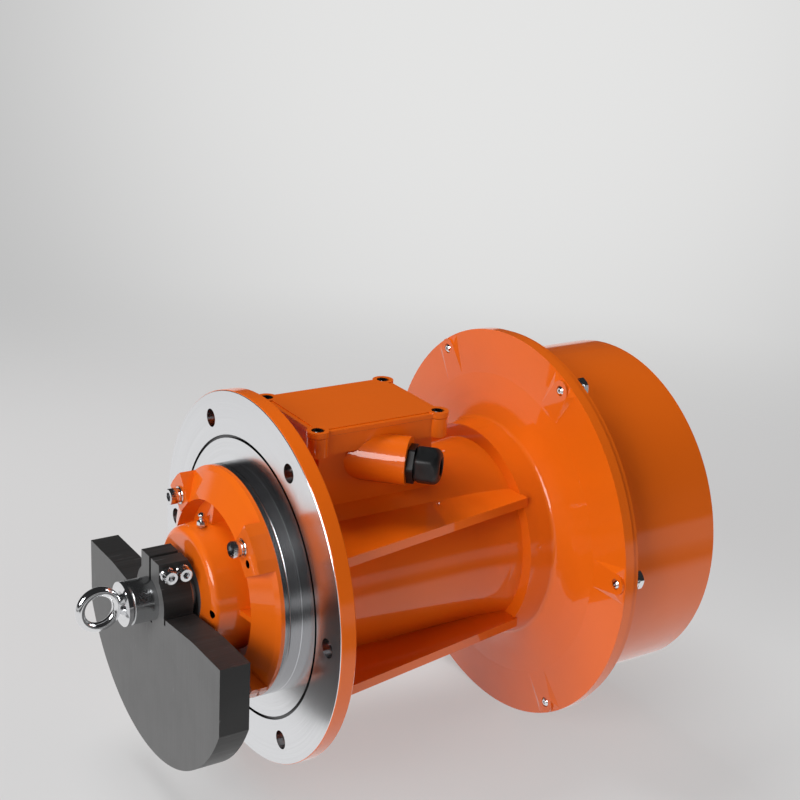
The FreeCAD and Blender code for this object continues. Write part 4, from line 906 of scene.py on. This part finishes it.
@dataclass(frozen=True)
class HexBolt:
    """A hexagon bolt with a chamfered head and a threaded tip, in millimetres."""

    name: str
    thread: float
    flats: float
    height: float
    length: float
    pitch: float = 1.5
    threads_shown: int = 6

    def model(self) -> Blank:
        """Return the bolt with its head's seat on the origin."""
        half, top = self.thread / 2, self.height
        flat, over = self.flats / 2, corner_radius(self.flats)
        head = Blank("head", 6, [(0.0, over), (top, over)])
        head.cut(Blank("chamfer", 64, [
            (-0.1, flat - 0.2), (0.5, flat - 0.2), (0.5, over + 0.4), (top - 1.5, over + 0.4),
            (top - 0.12, flat - 0.7), (top + 0.1, flat - 1.1),
        ]), Cut.SHARED)
        start = -self.length + 1.8
        rings = [(-self.length, half - 2.3), (start, half - 0.2)]
        for turn in range(self.threads_shown):
            foot = start + turn * self.pitch
            rings += [(foot + 0.55 * self.pitch, half - 0.75), (foot + self.pitch, half - 0.05)]
        rings += [(-self.length / 2, half), (0.4, half)]
        shank = Blank(self.name, 48, rings)
        shank.cut(Blank("centre", 24, [(-self.length - 0.3, 1.7), (-self.length + 2.0, 0.8)]), Cut.AWAY)
        return shank.joined(head)


@dataclass(frozen=True)
class GreaseNipple:
    """A grease nipple with a hexagonal foot and a ball head, in millimetres."""

    name: str
    flats: float = 7.6
    foot: float = 5.0
    neck: float = 4.2
    ball: float = 6.6
    height: float = 13.0
    thread: float = 5.6
    length: float = 6.0

    def model(self) -> Blank:
        """Return the nipple with its seat on the origin."""
        over, foot = corner_radius(self.flats), self.foot
        hexagon = Blank(self.name, 6, [(0.0, over), (foot, over)])
        chamfer = Blank("chamfer", 48, [(-0.1, 4.0), (0.5, 4.4), (foot - 0.7, 4.4), (foot + 0.1, 3.6)])
        hexagon.cut(chamfer, Cut.SHARED)
        top, ball, neck, half = self.height, self.ball / 2, self.neck / 2, self.thread / 2
        turned = Blank("turned", 40, [
            (-self.length, half - 0.5), (-self.length + 0.6, half), (0.2, half),
            (foot - 0.1, 3.0), (foot + 0.4, neck + 0.3), (foot + 1.0, neck), (top - 4.6, neck),
            (top - 3.6, ball - 0.4), (top - 2.8, ball), (top - 2.0, ball), (top - 1.1, ball - 0.5),
            (top - 0.4, ball - 1.3), (top, ball - 2.1), (top, 0.6), (top - 1.2, 0.5),
        ])
        return hexagon.joined(turned)


@dataclass(frozen=True)
class GlandNut:
    """The moulded nut of a cable gland, with rounded corners and a domed nose, in millimetres."""

    name: str
    flats: float = 32.0
    height: float = 23.0
    bore: float = 17.0
    thread: float = 27.0

    def model(self) -> Blank:
        """Return the nut with its foot on the origin."""
        over, top, inner = corner_radius(self.flats), self.height, self.bore / 2
        body = Blank("body", 6, [(0.0, over), (top, over)]).round_edges(2.6, 5)
        nut = Blank(self.name, 72, [
            (0.0, over - 1.4), (0.7, over - 0.5), (top - 10.0, over - 0.5), (top - 7.5, over - 0.8),
            (top - 5.2, over - 1.6), (top - 3.4, over - 2.7), (top - 1.9, over - 4.0),
            (top - 0.8, over - 5.4), (top - 0.2, over - 6.6), (top, over - 7.6),
            (top, inner + 0.8), (top - 0.8, inner), (7.0, inner),
        ])
        nut.cut(body, Cut.SHARED)
        thread = Blank("thread", 72, [(height, self.thread / 2) for height in (-1.0, top - 7.5)])
        return nut.cut(thread, Cut.AWAY)


@dataclass(frozen=True)
class Fitting:
    """A modelled piece with its seats, the node it stands for, its body and its finish."""

    blank: Callable[[], Blank]
    seats: tuple[Seat, ...]
    node: str
    body: Body = Body.FRAME
    slot: Slot = Slot.BRIGHT_ZINC


# Places in millimetres: where the washers lie, the lid's seat and its screws, and the gland.
SHIELD_X = -36.3
SHIELD_RING = Ring(circle=182.0, first=45.0, count=4, towards=-1.0)
COVER_X = 306.0
COVER_RING = Ring(circle=375.6, first=26.2, count=6, towards=1.0)
CLAMP_Y, CLAMP_Z, CLAMP_HALF_PITCH = -19.0, 31.0, 7.0
FRONT_WEIGHT_X, REAR_WEIGHT_X = -81.0, 372.0
LID_X, LID_Y, LID_Z = (43.8, 171.4), (-48.2, 48.2), 151.5
NIPPLE_SEAT = Seat((-45.0, 0.0, 60.6), (0.0, 0.0, 1.0), 12.0)
GLAND_ROOT, GLAND_REACH = (59.2, 0.0, 117.0), 105.0
GLAND_AXIS = (math.sqrt(0.5), -math.sqrt(0.5), 0.0)


def clamp_seats(middle: float, y: float) -> tuple[Seat, ...]:
    """Return the two seats across a weight's split, from its middle along the shaft and their Y."""
    return tuple(Seat((middle + side * CLAMP_HALF_PITCH, y, CLAMP_Z), (0.0, -1.0, 0.0), 20.0 * side)
                 for side in (-1.0, 1.0))


def shield_fittings() -> list[Fitting]:
    """Return the front shield's screws with their split and flat washers."""
    spring = Washer("front_spring_washer_set", across=14.0, hole=10.2, thickness=2.4, split=True)
    flat = Washer("front_shield_washer_set", across=17.0, hole=10.2, thickness=1.6)
    spring_x = SHIELD_X - flat.thickness
    head_x = spring_x - spring.thickness
    _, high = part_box("front_shield_screws")
    screw = CapScrew("front_shield_screw_set", thread=10.0, head=15.0, height=8.0, socket=8.0,
                     length=high.x / MM - head_x, teeth=34)
    return [
        Fitting(screw.model, SHIELD_RING.seats(head_x), "front_shield_screws"),
        Fitting(spring.model, SHIELD_RING.seats(spring_x), "front_spring_washers"),
        Fitting(flat.model, SHIELD_RING.seats(SHIELD_X), "front_shield_washers"),
    ]


def clamp_fittings(end: str, middle: float, body: Body) -> list[Fitting]:
    """Return the clamp screws and washers of one weight.

    Args:
        end: Which weight it is, front or rear.
        middle: The weight's middle along the shaft in millimetres.
        body: The body that it turns with.

    Returns:
        The screws and the washers.
    """
    washer = Washer(f"{end}_clamp_washer_pair", across=13.6, hole=8.2, thickness=4.0)
    head_y = CLAMP_Y - washer.thickness
    _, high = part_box("front_clamp_screws")
    screw = CapScrew(f"{end}_clamp_screw_pair", thread=8.0, head=12.6, height=8.0, socket=6.0,
                     length=high.y / MM - head_y, teeth=26)
    return [
        Fitting(screw.model, clamp_seats(middle, head_y), f"{end}_clamp_screws", body),
        Fitting(washer.model, clamp_seats(middle, CLAMP_Y), f"{end}_clamp_washers", body),
    ]


def box_fittings() -> list[Fitting]:
    """Return the screws of the terminal box's lid."""
    low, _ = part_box("terminal_lid_screws")
    screw = CapScrew("terminal_lid_screw_set", thread=6.0, head=11.6, height=3.4, socket=5.0,
                     length=LID_Z - low.z / MM, teeth=24, chamfer=1.1)
    seats = tuple(Seat((x, y, LID_Z), (0.0, 0.0, 1.0), 40.0 * x) for x in LID_X for y in LID_Y)
    return [Fitting(screw.model, seats, "terminal_lid_screws", slot=Slot.BLACK_OXIDE)]


def cover_fittings() -> list[Fitting]:
    """Return the cover's bolts and their washers."""
    washer = Washer("cover_washer_set", across=17.0, hole=10.2, thickness=2.2)
    head_x = COVER_X + washer.thickness
    low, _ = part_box("cover_bolts")
    bolt = HexBolt("cover_bolt_set", thread=10.0, flats=17.0, height=6.4, length=head_x - low.x / MM)
    return [
        Fitting(bolt.model, COVER_RING.seats(head_x), "cover_bolts"),
        Fitting(washer.model, COVER_RING.seats(COVER_X), "cover_washers"),
    ]


def fittings() -> list[Fitting]:
    """Return the small pieces that are modelled in full."""
    foot = tuple(root + GLAND_REACH * share for root, share in zip(GLAND_ROOT, GLAND_AXIS))
    return [
        *shield_fittings(),
        *clamp_fittings("front", FRONT_WEIGHT_X, Body.ROTOR),
        *clamp_fittings("rear", REAR_WEIGHT_X, Body.REAR_WEIGHT),
        *box_fittings(),
        *cover_fittings(),
        Fitting(GreaseNipple("front_nipple_dressed").model, (NIPPLE_SEAT,), "front_grease_nipple"),
        Fitting(GlandNut("cable_gland_nut_moulded").model, (Seat(foot, GLAND_AXIS),), "cable_gland_nut",
                slot=Slot.BLACK_PLASTIC),
    ]


def add_fittings(shop: Paintshop) -> None:
    """Model every fitting, put it in place of its node and paint it."""
    for fitting in fittings():
        piece = fitting.blank().stand(fitting.seats)
        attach(piece, fitting.body.value)
        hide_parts(fitting.node)
        shop.coat(piece, fitting.slot)


@dataclass(frozen=True)
class Softbox:
    """A soft box: its place, its aim, its size in metres, its watts and whether it mirrors."""

    name: str
    place: Triple
    aim: Triple
    size: tuple[float, float]
    power: float
    mirrored: bool = True

    def hang(self) -> None:
        """Add the lamp to the scene."""
        data = bpy.data.lights.new(self.name, "AREA")
        data.shape = "RECTANGLE"
        data.size, data.size_y = self.size
        data.energy = self.power
        lamp = bpy.data.objects.new(self.name, data)
        lamp.location = self.place
        lamp.visible_glossy = self.mirrored
        lamp.rotation_mode = "QUATERNION"
        lamp.rotation_quaternion = (Vector(self.aim) - Vector(self.place)).to_track_quat("-Z", "Y")
        bpy.context.scene.collection.objects.link(lamp)


SOFTBOXES: tuple[Softbox, ...] = (
    Softbox("key", (-2.4, -0.9, 1.25), (0.0, 0.0, 0.0), (1.6, 1.3), 54.0),
    Softbox("low", (-2.0, -1.5, 0.05), (0.2, 0.0, -0.05), (1.0, 0.6), 11.0, mirrored=False),
    Softbox("side", (2.0, -1.5, 0.25), (0.3, 0.0, 0.0), (1.0, 0.8), 16.0, mirrored=False),
    Softbox("top", (-0.1, 1.0, 2.0), (0.15, 0.0, 0.0), (1.3, 1.0), 37.0, mirrored=False),
)


@dataclass(frozen=True)
class Studio:
    """Camera, floor, backdrop and soft light."""

    eye: Triple = (-0.5817, -1.1181, 0.6213)
    right: Triple = (0.842, -0.537, 0.0525)
    forward: Triple = (0.522, 0.7861, -0.3309)
    lens: float = 67.43
    floor_z: float = -0.1995
    floor_size: float = 12.0
    paper: Triple = (0.66, 0.655, 0.655)
    paper_glow: Triple = (0.78, 0.775, 0.775)
    # Painted light: a paler, less orange paper under the motor lifts its shadow and the orange of its
    # bounce.
    paper_painted_light: Triple = (0.77, 0.80, 0.805)
    near_centre: Triple = (0.35, 0.0, 0.0)
    near_reach: float = 0.40
    near_fade: float = 0.16
    paper_shade: Triple = (0.64, 0.635, 0.635)
    paper_unlit: Triple = (0.02, 0.02, 0.02)
    lit_front: float = -0.52
    lit_front_fade: float = 0.10
    lit_half_width: float = 1.0
    lit_side_fade: float = 0.2
    paper_lift: float = 0.62
    paper_end: float = 1.35
    paper_fade: float = 0.5
    backdrop_axis: Triple = (0.60, 0.80, -0.08)
    backdrop_edge: Triple = (0.53, 0.53, 0.53)
    backdrop_middle: Triple = (0.78, 0.78, 0.775)
    backdrop_reach: float = 0.965
    backdrop_fade: float = 0.04
    room: Triple = (0.10, 0.10, 0.102)
    mirrored_room: Triple = (0.025, 0.025, 0.026)
    horizon_fade: float = 0.04

    def build(self) -> None:
        """Set up the whole studio."""
        self.add_camera()
        self.add_floor()
        for softbox in SOFTBOXES:
            softbox.hang()
        self.light_world()

    def add_camera(self) -> None:
        """Place the camera at the photograph's viewpoint."""
        data = bpy.data.cameras.new("camera")
        data.lens = self.lens
        data.sensor_width = 36.0
        data.clip_start = 0.01
        data.clip_end = 50.0
        camera = bpy.data.objects.new("camera", data)
        ahead = Vector(self.forward).normalized()
        side = (Vector(self.right) - Vector(self.right).dot(ahead) * ahead).normalized()
        above = side.cross(ahead)
        turn = Matrix((side, above, -ahead)).transposed()
        camera.matrix_world = Matrix.Translation(self.eye) @ turn.to_4x4()
        bpy.context.scene.collection.objects.link(camera)
        bpy.context.scene.camera = camera

    def add_floor(self) -> None:
        """Lay the floor under the motor."""
        bpy.ops.object.select_all(action="DESELECT")
        bpy.ops.mesh.primitive_plane_add(size=self.floor_size, location=(0.0, 0.0, self.floor_z))
        floor = bpy.context.object
        floor.name = "studio_floor"
        floor.data.materials.append(self.paper_material())

    def paper_material(self) -> bpy.types.Material:
        """Return the pale paper, with painted light under the motor, which fades into the backdrop far from
        the motor.
        """
        made = bpy.data.materials.new("studio_paper")
        made.use_nodes = True
        tree = Tree(made.node_tree)
        shader = tree.node("ShaderNodeBsdfPrincipled")
        point = tree.point()
        across, along, _ = tree.split(point)
        tone = tree.mix(tree.noise(point, 1.5, 2.0), self.paper, self.paper_shade)
        # Painted light: the paper turns paler and less orange near the motor to lift its shadow.
        off = tree.step(tree.distance(point, self.near_centre), self.near_reach, self.near_fade)
        tone = tree.mix(off, self.paper_painted_light, tone)
        tree.fill(shader, {"Base Color": tone, "Roughness": 0.7, "Specular IOR Level": 0.2})
        shown = tree.node("ShaderNodeEmission")
        tree.feed(shown.inputs["Color"], self.paper)
        rays = tree.node("ShaderNodeLightPath")
        lifted = tree.times(rays.outputs["Is Camera Ray"], self.paper_lift)
        seen = tree.mix_shaders(lifted, shader.outputs[0], shown.outputs[0])
        aside = tree.step(tree.math("ABSOLUTE", across), self.lit_half_width, self.lit_side_fade)
        lit = tree.times(tree.step(along, self.lit_front, self.lit_front_fade), tree.flip(aside))
        glow = tree.node("ShaderNodeEmission")
        tree.feed(glow.inputs["Color"], tree.mix(lit, self.paper_unlit, self.paper_glow))
        mirrored = tree.mix_shaders(rays.outputs["Is Glossy Ray"], seen, glow.outputs[0])
        far = tree.step(tree.length(across, along), self.paper_end, self.paper_fade)
        whole = tree.mix_shaders(far, mirrored, tree.node("ShaderNodeBsdfTransparent").outputs[0])
        tree.feed(tree.node("ShaderNodeOutputMaterial").inputs["Surface"], whole)
        return made

    def light_world(self) -> None:
        """Show the camera a pale backdrop, mirrored from below the horizon, and leave the room dim."""
        world = bpy.data.worlds.new("studio_room")
        world.use_nodes = True
        bpy.context.scene.world = world
        tree = Tree(world.node_tree)
        direction = tree.node("ShaderNodeTexCoord").outputs["Generated"]
        dot = tree.node("ShaderNodeVectorMath", operation="DOT_PRODUCT")
        tree.feed(dot.inputs[0], direction)
        dot.inputs[1].default_value = Vector(self.backdrop_axis).normalized()
        centre = tree.step(dot.outputs["Value"], self.backdrop_reach, self.backdrop_fade)
        pale = tree.mix(centre, self.backdrop_edge, self.backdrop_middle)
        rays = tree.node("ShaderNodeLightPath")
        _, _, upwards = tree.split(direction)
        below = tree.flip(tree.step(upwards, 0.0, self.horizon_fade))
        seen = tree.math("MAXIMUM", rays.outputs["Is Camera Ray"],
                         tree.times(rays.outputs["Is Glossy Ray"], below))
        dim = tree.mix(rays.outputs["Is Glossy Ray"], self.room, self.mirrored_room)
        background = tree.node("ShaderNodeBackground")
        tree.feed(background.inputs["Color"], tree.mix(seen, dim, pale))
        tree.feed(tree.node("ShaderNodeOutputWorld").inputs["Surface"], background.outputs[0])


def main() -> None:
    """Dress the motor and build the studio round it."""
    logging.basicConfig(level=logging.INFO, format="%(name)s: %(message)s")
    scene = bpy.context.scene
    scene.view_settings.view_transform = "Standard"
    Studio().build()
    shop = Paintshop()
    shop.coat_nodes()
    add_fittings(shop)
    LOG.info("%d nodes dressed", len(frame["nodes"]))


if __name__ == "__main__":
    main()
